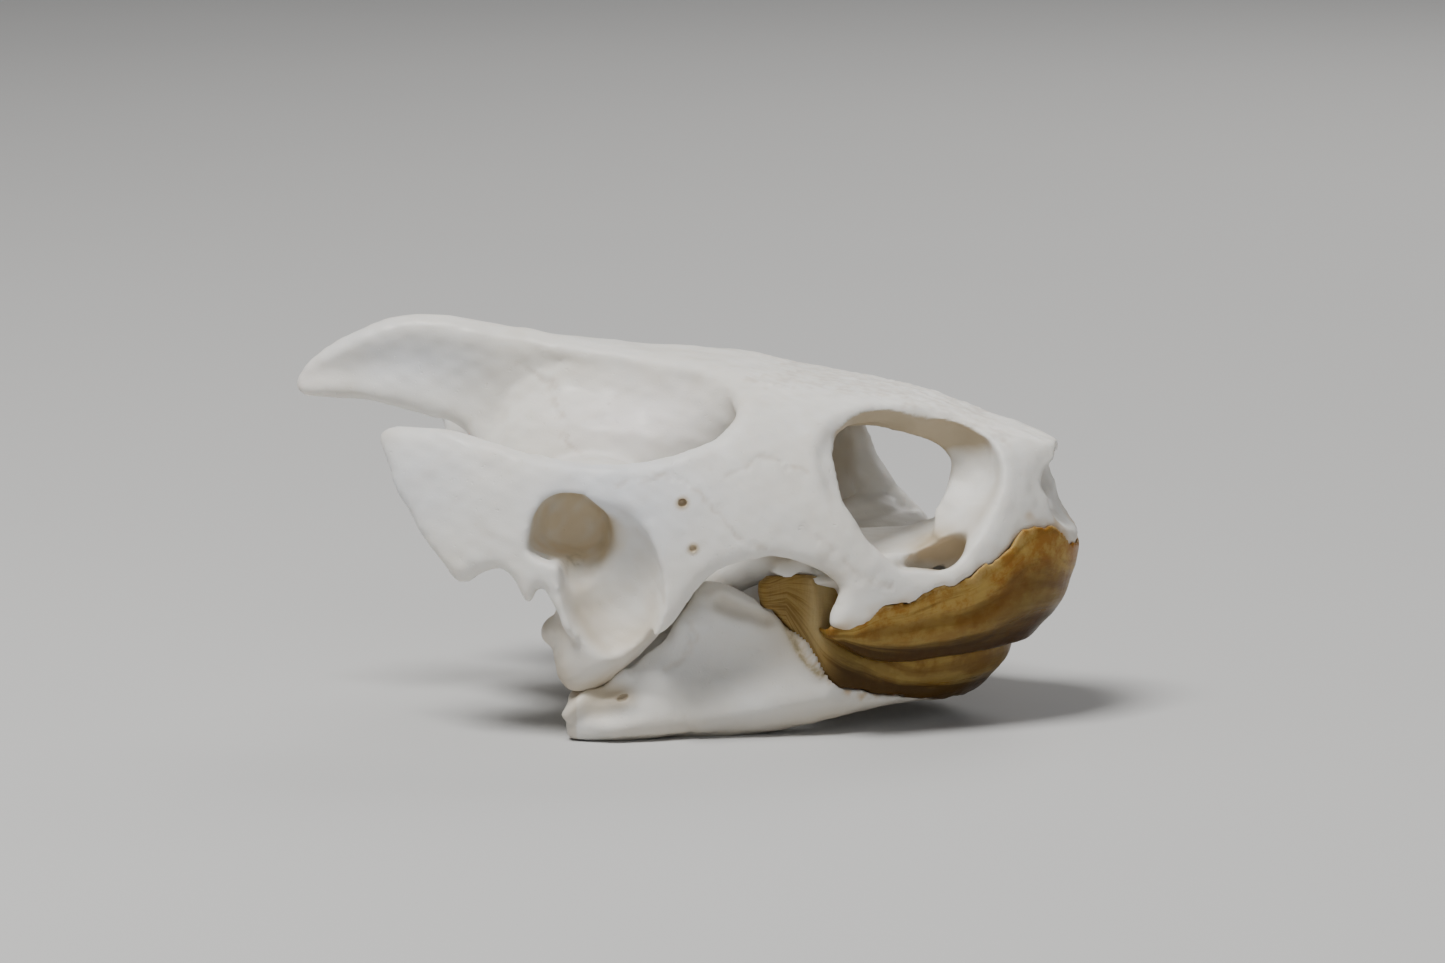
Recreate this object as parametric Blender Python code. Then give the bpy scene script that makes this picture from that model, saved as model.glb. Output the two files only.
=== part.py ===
"""Turtle skull resting on its lower jaw, life size, with the horny beak still on.

Frame: +X runs towards the snout, +Y to the animal's left, +Z up. The origin lies on the
ground under the middle of the skull. Shapes are worked out in millimetres and written in metres.
"""

import math

import bmesh
import bpy
import numpy as np
from mathutils import Vector
from mathutils.geometry import delaunay_2d_cdt

MM = 0.001

# Overall sizes, in millimetres.
SNOUT_X = 24.2
WIDEST_X = -4.0
HALF_WIDTH = 14.4
SQUAMOSAL_END_X = -17.0
SQUAMOSAL_HALF_WIDTH = 11.2
ROSTRUM_FULLNESS = 1.6
ROSTRUM_ROUNDNESS = 1.9
SHELL_LOW_Z = 6.0
SECTION_SQUARENESS = 3.1

# The lower jaw's outer line, an ellipse seen from above.
JAW_FRONT_X = 20.2
JAW_MIDDLE_X = -8.0
JAW_HALF_WIDTH = 12.3
JAW_REAR_X = -5.8

# Thicknesses and clearances.
BONE = 1.5
HORN = 0.9
GAP = 0.32

# How finely the pieces, the fused bone and the finished nodes are divided.
PLATE_STEP = 0.8
VOXEL = 0.36
CRANIUM_FACES = 7000
MANDIBLE_FACES = 2000
SHEATH_FACES = 1100

# Mid-line of the skull's roof from the crest's rear to the front of the snout, as (x, z).
ROOF_LINE = (
    (-24.5, 20.7), (-20.0, 23.2), (-17.2, 24.05), (-13.5, 23.8), (-8.0, 23.0), (-3.0, 22.4),
    (2.0, 21.95), (7.0, 21.0), (11.3, 20.35), (14.4, 19.8), (18.7, 18.4), (22.4, 17.15),
    (23.3, 16.75), (23.8, 15.6), (24.2, 12.0),
)


def profile(knots):
    """Smooth curve through (position, value) knots, as a function."""
    at, value = np.array(knots, float).T
    slope = np.gradient(value, at)

    def curve(x):
        x = np.clip(np.asarray(x, float), at[0], at[-1])
        i = np.clip(np.searchsorted(at, x) - 1, 0, len(at) - 2)
        span = at[i + 1] - at[i]
        t = (x - at[i]) / span
        start = (1 + 2 * t) * (1 - t) ** 2 * value[i] + t * (1 - t) ** 2 * span * slope[i]
        end = t * t * (3 - 2 * t) * value[i + 1] + t * t * (t - 1) * span * slope[i + 1]
        return start + end

    return curve


def rounded(points, steps=5):
    """Closed Catmull-Rom curve through a few outline points."""
    p = np.array(points, float)
    before, after, beyond = np.roll(p, 1, 0), np.roll(p, -1, 0), np.roll(p, -2, 0)
    out = []
    for t in np.arange(steps) / steps:
        out.append(
            p
            + 0.5 * t * (after - before)
            + t * t * (before - 2.5 * p + 2 * after - 0.5 * beyond)
            + t**3 * (1.5 * (p - after) + 0.5 * (beyond - before))
        )
    return np.stack(out, 1).reshape(-1, 2)


def oval(centre, radii, tilt=0.0, power=2.0, count=32):
    """Outline of a superellipse in a plane; tilt is in degrees."""
    a = np.linspace(0, 2 * math.pi, count, endpoint=False)
    u = radii[0] * np.sign(np.cos(a)) * np.abs(np.cos(a)) ** (2 / power)
    v = radii[1] * np.sign(np.sin(a)) * np.abs(np.sin(a)) ** (2 / power)
    c, s = math.cos(math.radians(tilt)), math.sin(math.radians(tilt))
    return np.stack([centre[0] + c * u - s * v, centre[1] + s * u + c * v], 1)


roof_z = profile(ROOF_LINE)


def half_width(x):
    """Half the skull's width at jaw level, seen from above."""
    x = np.asarray(x, float)
    u = np.clip((x - WIDEST_X) / (SNOUT_X - WIDEST_X), 0, 1)
    front = HALF_WIDTH * (1 - u**ROSTRUM_FULLNESS) ** (1 / ROSTRUM_ROUNDNESS)
    back_share = np.clip((WIDEST_X - x) / (WIDEST_X - SQUAMOSAL_END_X), 0, 1.2)
    back = HALF_WIDTH - (HALF_WIDTH - SQUAMOSAL_HALF_WIDTH) * back_share**2
    return np.where(x > WIDEST_X, front, back)


def shell_table():
    """Arc length across a typical section of the shell, by the angle from the mid-line."""
    t = np.linspace(0, 1, 1500)
    angle = math.pi / 2 * (3 * t**2 - 2 * t**3)
    y = 11.0 * np.sin(angle) ** (2 / SECTION_SQUARENESS)
    z = 14.0 * np.clip(np.cos(angle), 0, 1) ** (2 / SECTION_SQUARENESS)
    arc = np.concatenate([[0], np.cumsum(np.hypot(np.diff(y), np.diff(z)))])
    return angle, arc


ANGLES, ARCS = shell_table()


def shell(x, w):
    """Points of the skull's outer shell: x along it, and w across it from the mid-line."""
    x, w = np.asarray(x, float), np.asarray(w, float)
    angle = np.interp(np.abs(w), ARCS, ANGLES)
    y = np.sign(w) * half_width(x) * np.sin(angle) ** (2 / SECTION_SQUARENESS)
    rise = np.clip(np.cos(angle), 0, 1) ** (2 / SECTION_SQUARENESS)
    below = np.clip(np.abs(w) - ARCS[-1], 0, None)
    return np.stack([x, y, SHELL_LOW_Z + (roof_z(x) - SHELL_LOW_Z) * rise - below], -1)


def side(x, z):
    """Place on the unrolled shell of a point seen from the side."""
    if z < SHELL_LOW_Z:
        return x, ARCS[-1] + SHELL_LOW_Z - z
    rise = min((z - SHELL_LOW_Z) / (float(roof_z(x)) - SHELL_LOW_Z), 1.0)
    return x, float(np.interp(math.acos(rise ** (SECTION_SQUARENESS / 2)), ANGLES, ARCS))


def top(x, y):
    """Place on the unrolled shell of a point seen from above."""
    share = y / float(half_width(x))
    return x, float(np.interp(math.asin(share ** (SECTION_SQUARENESS / 2)), ANGLES, ARCS))


def solid(name, points, faces):
    """Mesh object from points in millimetres, its faces turned outwards."""
    points = np.asarray(points, float)
    volume = 0.0
    for face in faces:
        a = points[face[0]]
        for i in range(1, len(face) - 1):
            volume += np.dot(a, np.cross(points[face[i]], points[face[i + 1]]))
    if volume < 0:
        faces = [face[::-1] for face in faces]
    mesh = bpy.data.meshes.new(name)
    mesh.from_pydata((points * MM).tolist(), [], [list(map(int, face)) for face in faces])
    made = bpy.data.objects.new(name, mesh)
    bpy.context.scene.collection.objects.link(made)
    return made


def loft(name, rings):
    """Closed solid through rings of equal count, each end closed by a fan."""
    rings = np.asarray(rings, float)
    n, m, _ = rings.shape
    points = np.vstack([rings.reshape(-1, 3), rings[0].mean(0), rings[-1].mean(0)])
    faces = []
    for i in range(n - 1):
        for j in range(m):
            k = (j + 1) % m
            faces.append([i * m + j, i * m + k, (i + 1) * m + k, (i + 1) * m + j])
    for j in range(m):
        k = (j + 1) % m
        faces.append([n * m, k, j])
        faces.append([n * m + 1, (n - 1) * m + j, (n - 1) * m + k])
    return solid(name, points, faces)


def blob(name, centre, radii, turn=(0, 0, 0), rings=4):
    """Ellipsoid; turn holds rotations about x, y and z in degrees."""
    mesh = bpy.data.meshes.new(name)
    made = bpy.data.objects.new(name, mesh)
    bpy.context.scene.collection.objects.link(made)
    ball = bmesh.new()
    bmesh.ops.create_icosphere(ball, subdivisions=rings, radius=1.0)
    bmesh.ops.scale(ball, vec=Vector(radii) * MM, verts=ball.verts)
    ball.to_mesh(mesh)
    ball.free()
    made.rotation_euler = [math.radians(v) for v in turn]
    made.location = Vector(centre) * MM
    bpy.context.view_layer.update()
    mesh.transform(made.matrix_world)
    made.rotation_euler = (0, 0, 0)
    made.location = (0, 0, 0)
    return made


def limb(name, stations, count=16):
    """Rounded bar through stations (x, y, z, half width, half height), across the path."""
    stations = np.array(stations, float)
    centres = stations[:, :3]
    along = np.gradient(centres, axis=0)
    rings = []
    angles = np.linspace(0, 2 * math.pi, count, endpoint=False)
    for place, direction, (wide, high) in zip(centres, along, stations[:, 3:]):
        direction = direction / np.linalg.norm(direction)
        level = np.cross((0, 0, 1), direction)
        if np.linalg.norm(level) < 0.2:
            level = np.array((0.0, 1.0, 0.0))
        level = level / np.linalg.norm(level)
        upward = np.cross(direction, level)
        rings.append(
            place + np.outer(np.cos(angles) * wide, level) + np.outer(np.sin(angles) * high, upward)
        )
    return loft(name, rings)


def even_spacing(loop, step):
    """The closed outline walked at even steps."""
    ends = np.vstack([loop, loop[:1]])
    length = np.concatenate([[0], np.cumsum(np.linalg.norm(np.diff(ends, axis=0), axis=1))])
    count = max(8, int(round(length[-1] / step)))
    at = np.linspace(0, length[-1], count, endpoint=False)
    return np.stack([np.interp(at, length, ends[:, k]) for k in (0, 1)], 1)


def inside(points, loops):
    """Whether each point is within the first outline and outside the others."""
    held = np.zeros(len(points), bool)
    for loop in loops:
        x1, y1 = loop.T
        x2, y2 = np.roll(loop, -1, 0).T
        px, py = points[:, 0:1], points[:, 1:2]
        crosses = (y1 > py) != (y2 > py)
        rise = np.where(y2 == y1, 1e-9, y2 - y1)
        held ^= (crosses & (px < (x2 - x1) * (py - y1) / rise + x1)).sum(1) % 2 == 1
    return held


def to_edge(points, loops):
    """Distance of each point from the nearest outline."""
    nearest = np.full(len(points), 1e9)
    for loop in loops:
        a, b = loop, np.roll(loop, -1, 0)
        run = b - a
        reach = ((points[:, None] - a) * run).sum(2) / (run * run).sum(1)
        foot = a + np.clip(reach, 0, 1)[..., None] * run
        nearest = np.minimum(nearest, np.linalg.norm(points[:, None] - foot, axis=2).min(1))
    return nearest


def plate(name, loops, surface, thick, edge_radius=1.0, step=PLATE_STEP):
    """Closed bent plate with rounded rims.

    loops are outlines in the plate's own plane, holes after the first. surface(u, v) gives
    its middle as points and normals, and thick(u, v) half its thickness.
    """
    loops = [even_spacing(np.asarray(loop, float), step) for loop in loops]
    low, high = loops[0].min(0), loops[0].max(0)
    columns = np.arange(low[0], high[0], step)
    rows = np.arange(low[1], high[1], step * 0.87)
    grid = np.array([(c + 0.5 * step * (r % 2), rows[r]) for r in range(len(rows)) for c in columns])
    grid = grid[inside(grid, loops)]
    grid = grid[to_edge(grid, loops) > 0.55 * step]
    flat = np.vstack(loops + [grid])
    edges = []
    start = 0
    for loop in loops:
        edges += [(start + i, start + (i + 1) % len(loop)) for i in range(len(loop))]
        start += len(loop)
    found = delaunay_2d_cdt([Vector(p) for p in flat], edges, [], 0, 1e-5)
    flat = np.array([tuple(v) for v in found[0]])
    triangles = np.array(found[2])
    triangles = triangles[inside(flat[triangles].mean(1), loops)]
    used = np.unique(triangles)
    renumber = np.full(len(flat), -1)
    renumber[used] = np.arange(len(used))
    flat, triangles = flat[used], renumber[triangles]
    share = np.clip(to_edge(flat, loops) / edge_radius, 0, 1)
    half = thick(flat[:, 0], flat[:, 1]) * (0.35 + 0.65 * np.sqrt(1 - (1 - share) ** 2))
    middle, normal = surface(flat[:, 0], flat[:, 1])
    count = len(flat)
    points = np.vstack([middle + normal * half[:, None], middle - normal * half[:, None]])
    ends = np.vstack([triangles[:, [0, 1]], triangles[:, [1, 2]], triangles[:, [2, 0]]])
    seen = {(int(a), int(b)) for a, b in ends}
    rims = [(a, b) for a, b in seen if (b, a) not in seen]
    faces = [list(t) for t in triangles] + [list(t[::-1] + count) for t in triangles]
    faces += [[b, a, a + count, b + count] for a, b in rims]
    return solid(name, points, faces)


def bent(place, u, v, inset):
    """Middle and normals of a plate whose outer face follows place(u, v), inset by inset."""
    step = 0.05
    here = place(u, v)
    across = place(u + step, v) - here
    up = place(u, v + step) - here
    normal = np.cross(across, up)
    normal /= np.linalg.norm(normal, axis=1)[:, None]
    outward = np.sign((normal * (here - np.array((0.0, 0.0, 12.0)))).sum(1))
    normal *= outward[:, None]
    return here - normal * inset, normal


def bake(obj):
    """Applies an object's modifiers."""
    bpy.context.view_layer.update()
    graph = bpy.context.evaluated_depsgraph_get()
    mesh = bpy.data.meshes.new_from_object(obj.evaluated_get(graph))
    obj.modifiers.clear()
    obj.data = mesh


def combine(obj, others, operation):
    """One Boolean with a collection of closed meshes, applied, and the meshes removed."""
    if not others:
        return
    group = bpy.data.collections.new(operation)
    bpy.context.scene.collection.children.link(group)
    for other in others:
        group.objects.link(other)
        bpy.context.scene.collection.objects.unlink(other)
    modifier = obj.modifiers.new(operation, "BOOLEAN")
    modifier.operation = operation
    modifier.operand_type = "COLLECTION"
    modifier.collection = group
    bake(obj)
    for other in others:
        bpy.data.objects.remove(other)
    bpy.data.collections.remove(group)


def melt(obj, voxel, passes):
    """Turns the fused pieces into one even skin and softens the joins between them."""
    remesh = obj.modifiers.new("even skin", "REMESH")
    remesh.mode = "VOXEL"
    remesh.voxel_size = voxel * MM
    soften = obj.modifiers.new("soften", "SMOOTH")
    soften.factor = 0.5
    soften.iterations = passes
    bake(obj)


def keep_largest(obj):
    """Drops every loose scrap and sealed hollow, so that one closed surface is left."""
    work = bmesh.new()
    work.from_mesh(obj.data)
    work.verts.ensure_lookup_table()
    label = [-1] * len(work.verts)
    sizes = []
    for seed in work.verts:
        if label[seed.index] >= 0:
            continue
        label[seed.index] = len(sizes)
        waiting, size = [seed], 0
        while waiting:
            vert = waiting.pop()
            size += 1
            for edge in vert.link_edges:
                other = edge.other_vert(vert)
                if label[other.index] < 0:
                    label[other.index] = len(sizes)
                    waiting.append(other)
        sizes.append(size)
    largest = sizes.index(max(sizes))
    scraps = [v for v in work.verts if label[v.index] != largest]
    bmesh.ops.delete(work, geom=scraps, context="VERTS")
    work.to_mesh(obj.data)
    work.free()


def thin_out(obj, faces):
    """Collapses the skin to about this many triangles."""
    modifier = obj.modifiers.new("thin out", "DECIMATE")
    modifier.ratio = min(1.0, faces / (2.0 * len(obj.data.polygons)))
    modifier.use_collapse_triangulate = True
    bake(obj)


# Cranium.

# Outline of the bony shell's left half, from the front of the roof down round the cheek, back to
# the squamosal, forwards along the temporal arch and back again beside the mid-line.
SHELL_OUTLINE = (
    top(23.2, 0.0), top(22.9, 1.8), side(22.4, 16.0), side(22.0, 14.8), side(22.5, 13.2),
    side(22.9, 11.0), side(22.8, 8.6), side(21.6, 7.4), side(17.0, 7.2), side(12.2, 7.2),
    side(10.6, 7.4), side(10.4, 8.2), side(10.9, 9.3), side(10.2, 10.2), side(9.0, 10.9),
    side(7.0, 11.5), side(5.0, 11.2),
    side(3.4, 10.6), side(2.2, 9.3), side(0.8, 7.4), side(-1.2, 6.4), side(-5.2, 6.6),
    side(-6.3, 8.4), side(-7.2, 9.7), side(-8.0, 8.5), side(-8.9, 10.0), side(-9.8, 10.6),
    side(-11.3, 10.1), side(-12.3, 9.5), side(-13.4, 10.6), side(-15.0, 12.5),
    side(-16.7, 15.0), side(-17.3, 16.7), side(-17.9, 18.0), side(-17.2, 18.6),
    side(-15.2, 18.9), side(-12.3, 18.75), side(-9.4, 18.0), side(-6.0, 17.4), side(-2.7, 17.2),
    side(0.6, 17.7), side(3.0, 18.6), side(4.2, 19.8), top(3.9, 7.6), top(2.6, 5.4), top(-0.5, 3.4),
    top(-4.5, 2.2), top(-8.5, 1.5), top(-12.5, 1.1), top(-15.0, 0.8),
)

# Rim of the left eye socket.
ORBIT_RIM = (
    side(9.9, 17.6), side(10.1, 18.8), top(11.8, 5.9), top(14.0, 4.3), top(16.4, 3.2),
    top(18.0, 3.4), side(18.9, 16.9), side(18.9, 15.2), side(18.7, 13.2), side(18.2, 11.7),
    side(17.4, 10.6), side(16.3, 10.15), side(15.2, 10.3), side(14.0, 10.9), side(12.3, 12.5),
    side(11.1, 14.1), side(10.4, 15.5),
)

# Clear way between the two sockets seen from the side, as (x, z).
EYE_WINDOW = (
    (7.8, 17.3), (9.4, 17.9), (11.8, 18.2), (13.9, 17.8), (15.5, 16.95), (16.45, 15.8),
    (16.25, 14.4), (15.8, 12.9), (13.6, 12.0), (10.0, 11.6), (7.8, 12.2),
)

# Opening in the front of the socket's floor, as (x, z).
PALATE_FORAMEN = (
    (13.9, 10.4), (15.0, 11.4), (16.2, 12.1), (17.3, 12.45), (17.8, 12.1), (17.7, 11.2),
    (17.2, 10.5), (16.4, 10.1), (15.2, 10.15),
)

# The crest behind the braincase, from the side, as (x, z).
CREST_OUTLINE = (
    (-6.0, 21.6), (-10.0, 23.1), (-14.0, 23.95), (-17.4, 24.05), (-20.2, 23.15), (-22.8, 21.7),
    (-24.4, 19.9), (-23.8, 19.0), (-22.0, 18.9), (-19.8, 18.7), (-18.1, 18.4), (-16.4, 17.9),
    (-14.6, 17.5), (-13.4, 16.4), (-12.2, 14.6), (-6.0, 15.0),
)

# Height of the palate's vault along the mid-line and its fall to the sides.
PALATE_LINE = (
    (-12.5, 9.8), (-4, 9.6), (2, 10.0), (7, 10.3), (10, 10.4), (12, 10.4), (15.5, 10.9), (20, 11.6),
)
PALATE_FALL = 0.034

# The quadrate from the top down: z, x, y, half length, half breadth.
QUADRATE = (
    (16.2, -3.0, 10.6, 2.6, 1.6), (15.0, -3.0, 10.9, 4.4, 2.8), (12.5, -2.8, 11.2, 4.7, 3.0),
    (10.0, -2.6, 11.2, 4.2, 3.0), (8.0, -2.9, 11.1, 3.6, 2.9), (6.2, -3.6, 11.0, 3.2, 2.7),
    (4.9, -4.2, 11.0, 2.5, 2.5), (3.8, -4.7, 11.0, 1.8, 2.1), (3.0, -5.0, 11.0, 0.9, 1.4),
)


class JawLine:
    """The U of a jaw seen from above, measured along its outer side from the middle of the snout.

    Directions into the jaw turn evenly along the U, so that thick walls never cross.
    """

    def __init__(self, front_x, middle_x, half_width, fullness, roundness, end_x):
        end = math.acos(((end_x - middle_x) / (front_x - middle_x)) ** (fullness / 2))
        angle = np.linspace(-end, end, 801)
        x = middle_x + (front_x - middle_x) * np.cos(angle) ** (2 / fullness)
        y = half_width * np.sign(angle) * np.abs(np.sin(angle)) ** (2 / roundness)
        length = np.concatenate([[0], np.cumsum(np.hypot(np.diff(x), np.diff(y)))])
        self.reach = length[-1] / 2
        self.along = length - self.reach
        self.x, self.y = x, y
        self.shape = (front_x, middle_x, half_width, fullness, roundness)
        self.turn = math.atan2(y[-1] - y[-9], x[-1] - x[-9]) - math.pi / 2

    def at(self, s):
        """Outer points and inward directions at distances s along the U."""
        s = np.asarray(s, float)
        places = np.stack([np.interp(s, self.along, self.x), np.interp(s, self.along, self.y)], 1)
        heading = self.turn * s / self.reach
        return places, -np.stack([np.cos(heading), np.sin(heading)], 1)

    def depth_to(self, other, s):
        """Depth at which another jaw line is met, going inwards from this one at s."""
        place, inward = self.at([s])
        depth = np.linspace(0, 9, 181)
        x, y = (place + depth[:, None] * inward).T
        front_x, middle_x, half_width, fullness, roundness = other.shape
        along = np.clip((x - middle_x) / (front_x - middle_x), 0, None)
        level = along**fullness + np.abs(y / half_width) ** roundness
        return depth[np.argmax(level < 1)]

    def distance(self, x):
        """How far along the left side the U reaches this x."""
        half = len(self.x) // 2
        return np.interp(-np.asarray(x, float), -self.x[half:], self.along[half:])


upper_line = JawLine(
    SNOUT_X, WIDEST_X, HALF_WIDTH, ROSTRUM_FULLNESS, ROSTRUM_ROUNDNESS, 7.4
)
lower_line = JawLine(JAW_FRONT_X, JAW_MIDDLE_X, JAW_HALF_WIDTH, 1.8, 2.0, JAW_REAR_X)


def ring_round_jaw(line, s, section):
    """Ring of (depth into the jaw, z) points, set across the jaw line at s."""
    section = np.asarray(section, float)
    place, inward = line.at([s])
    flat = place + section[:, :1] * inward
    return np.column_stack([flat, section[:, 1]])


def face_shell():
    """Roof, brows, cheeks, temporal arches and squamosals as one plate bent over the skull."""
    left = np.array(SHELL_OUTLINE)
    outline = rounded(np.vstack([left, (left * (1, -1))[1:][::-1]]))
    rim = rounded(ORBIT_RIM)
    return plate(
        "face shell", [outline, rim, rim * (1, -1)],
        lambda u, w: bent(shell, u, w, BONE / 2), lambda u, w: np.full(len(u), BONE / 2),
    )


def crest():
    """Supraoccipital blade: thin waist, thicker along its lower edge."""
    lower_edge = profile(((-25, 19.4), (-20, 18.8), (-16, 18.0), (-13, 15.2), (-6, 14.5)))
    half = profile(((-25, 0.8), (-21, 1.2), (-14, 1.3), (-10, 1.5), (-6, 1.2)))

    def surface(u, v):
        middle = np.stack([u, 0 * u, v], 1)
        return middle, np.tile((0.0, 1.0, 0.0), (len(u), 1))

    def thick(u, v):
        above = np.clip((v - lower_edge(u)) / (roof_z(u) - lower_edge(u)), 0, 1)
        return half(u) * (1 - 0.42 * np.sin(math.pi * above) ** 2)

    return plate("crest", [rounded(CREST_OUTLINE)], surface, thick, edge_radius=1.2)


def section(half_widths, heights, x, count=28):
    """Ring across the skull at x through half widths at the given heights, top to bottom."""
    right = [(-w, h) for w, h in zip(half_widths, heights)]
    left = [(w, h) for w, h in zip(half_widths, heights)][::-1]
    loop = rounded(right + left, 6)
    ends = np.vstack([loop, loop[:1]])
    length = np.concatenate([[0], np.cumsum(np.linalg.norm(np.diff(ends, axis=0), axis=1))])
    at = np.linspace(0, length[-1], count, endpoint=False)
    return np.column_stack(
        [np.full(count, x)] + [np.interp(at, length, ends[:, k]) for k in (0, 1)]
    )


def braincase():
    """Parietal walls and the base of the skull, solid."""
    top = profile(((-13, 15.6), (-11, 20.0), (-8, 22.0), (-3, 21.6), (2, 21.1), (7, 20.1)))
    neck = profile(((-13, 0.9), (-8, 1.5), (-4.5, 2.2), (-0.5, 3.4), (2.6, 5.2), (4.5, 6.2), (7, 5.2)))
    wall = profile(((-13, 2.4), (-10, 3.6), (-6, 4.7), (-1, 5.2), (2, 5.6), (4.5, 5.4), (7, 4.4)))
    flank = profile(((-13, 3.6), (-9, 5.0), (-4, 4.8), (2, 3.2), (7, 2.4)))
    base = profile(((-13, 9.4), (-8, 8.8), (0, 8.9), (7, 10.4)))
    rings = []
    for x in np.linspace(-13.0, 7.0, 28):
        t, b = float(top(x)), float(base(x))
        heights = [t, t - 0.05 * (t - b), t - 0.14 * (t - b), t - 0.33 * (t - b),
                   t - 0.62 * (t - b), t - 0.88 * (t - b), b]
        widths = [0.6 * neck(x), 1.02 * neck(x), 1.12 * neck(x), 0.97 * wall(x),
                  0.5 * (wall(x) + flank(x)), 0.8 * flank(x), 0.5 * flank(x)]
        rings.append(section([float(w) for w in widths], heights, x))
    return loft("braincase", rings)


def brow_keel():
    """Thick middle of the roof between the eye sockets, with the ridges that hang from it."""
    under = profile(((3, 17.6), (8, 17.8), (11.5, 17.9), (13.6, 17.4), (15.6, 16.7), (19, 15.5)))
    rings = []
    for x in np.linspace(3.0, 19.0, 18):
        t, b = float(roof_z(x)) - 0.6, float(under(x))
        rings.append(section([2.6, 3.3, 2.9, 2.2], [t, t - 0.45 * (t - b), b + 0.25, b], x))
    return loft("brow keel", rings)


def snout():
    """Solid front of the face, which the nose and the eye sockets are hollowed from."""
    rings = []
    across = np.linspace(-15.0, 15.0, 33)
    for x in np.linspace(15.6, SNOUT_X - 0.1, 20):
        shrink = 0.97 - 0.35 * max(0.0, (18.0 - x) / 4.0) ** 2
        ring = shell(np.full(33, x), across)
        ring[:, 1] *= shrink
        ring[:, 2] = np.clip(ring[:, 2] - 0.25, 7.5, None)
        rings.append(ring)
    return loft("snout", rings)


def tooth_shelf():
    """Bone of the upper jaw's edge and palate margin, inside the horn."""
    ring = oval((3.1, 9.3), (2.9, 1.7), -10.0, 2.6, 20)
    stations = np.linspace(-upper_line.distance(12.0), upper_line.distance(12.0), 41)
    return loft("tooth shelf", [ring_round_jaw(upper_line, s, ring) for s in stations])


def palate():
    """Vomer, palatines and pterygoids, arched between the jaw margins."""
    left = [
        (20.5, 0.0), (19.5, 4.2), (16.5, 7.6), (13.2, 8.6), (10.6, 7.0), (8.6, 6.2), (6.2, 5.9),
        (3.8, 5.3), (1.8, 4.6), (0.0, 5.2), (-1.6, 7.6), (-2.6, 9.8), (-5.0, 9.9), (-6.2, 7.6),
        (-8.0, 5.2), (-10.5, 3.9), (-12.2, 2.4),
    ]
    right = [(x, -y) for x, y in left[1:]][::-1]
    arch = profile(PALATE_LINE)

    def place(u, v):
        return np.stack([u, v, arch(u) - PALATE_FALL * v**2], 1)

    def surface(u, v):
        middle, normal = bent(place, u, v, 0.0)
        return middle, normal * np.sign(normal[:, 2:3])

    return plate(
        "palate", [rounded(left + right)], surface,
        lambda u, v: np.full(len(u), 0.75), edge_radius=0.7, step=0.7,
    )


def quadrate(sign, grow=0.0, top_z_limit=99.0):
    """Block that carries the ear drum's basin and ends below in the jaw joint."""
    angle = np.linspace(0, 2 * math.pi, 24, endpoint=False)
    rings = []
    for z, x, y, a, b in QUADRATE:
        if z > top_z_limit:
            continue
        a, b = a + grow, b + grow
        rings.append(np.column_stack([
            x + a * np.cos(angle), sign * (y + b * np.sin(angle)), np.full(24, z - grow)
        ]))
    return loft("quadrate", rings)


def ear_region(sign):
    """Inner ear housing, the strut behind it and the squamosal's filled cone."""
    s = sign
    return [
        blob("otic", (-5.2, s * 6.6, 12.9), (4.6, 4.8, 3.6)),
        blob("trochlear knob", (-1.3, s * 7.4, 13.9), (1.9, 2.6, 1.8)),
        limb("strut", ((-7.6, s * 4.0, 12.4, 2.6, 2.2), (-9.4, s * 7.2, 13.2, 2.5, 2.2),
                       (-11.4, s * 10.2, 13.8, 2.4, 2.6))),
        blob("squamosal", (-12.2, s * 10.3, 14.8), (4.7, 1.6, 3.3), (0, 18, s * 17)),
        blob("antrum wall", (-8.0, s * 10.6, 14.0), (2.8, 2.8, 3.2)),
        blob("joint knob", (-6.4, s * 10.9, 6.5), (1.1, 1.5, 1.0)),
        limb("outer process", ((0.6, s * 5.9, 7.9, 0.9, 1.0), (2.6, s * 6.3, 8.9, 1.0, 1.2),
                               (4.7, s * 6.6, 10.0, 1.0, 1.3), (6.8, s * 7.2, 10.6, 1.1, 1.3),
                               (8.3, s * 7.5, 10.1, 0.9, 1.0))),
        blob("front plate of the process", (7.5, s * 8.0, 9.9), (1.5, 0.9, 1.1), (0, 25, -s * 20)),
        limb("palate bridge", ((7.4, s * 7.2, 11.0, 1.4, 0.7), (9.8, s * 8.4, 11.3, 1.3, 0.7),
                               (12.0, s * 9.0, 11.0, 1.3, 0.8))),
        limb("back of the socket", ((9.0, s * 7.3, 18.3, 1.1, 1.1), (9.7, s * 9.0, 15.6, 1.2, 1.1),
                                    (10.9, s * 9.9, 12.2, 1.2, 1.3))),
    ]


def socket_floor():
    """Floor of both eye sockets, falling to each side from the vomer's ridge."""
    ridge = profile(((8.6, 10.3), (11.3, 10.75), (13.5, 11.4), (15.4, 12.1), (18.5, 13.4)))
    foot = profile(((8.6, 9.9), (12.0, 9.9), (16.0, 10.0), (18.5, 10.4)))
    rings = []
    for x in np.linspace(8.6, 18.5, 20):
        high, low = float(ridge(x)), float(foot(x))
        wide = min(9.0, 0.97 * float(half_width(x)) - 0.9)
        left = [(0.0, high), (2.4, high - 0.1), (4.7, high - 0.4),
                (0.93 * wide, low), (wide, low - 0.5), (0.9 * wide, low - 0.9), (4.0, low - 0.8)]
        loop = rounded(left + [(0.0, low - 0.6)] + [(-y, z) for y, z in left[:0:-1]], 4)
        rings.append(np.column_stack([np.full(len(loop), x), loop]))
    return loft("socket floor", rings)


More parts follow.
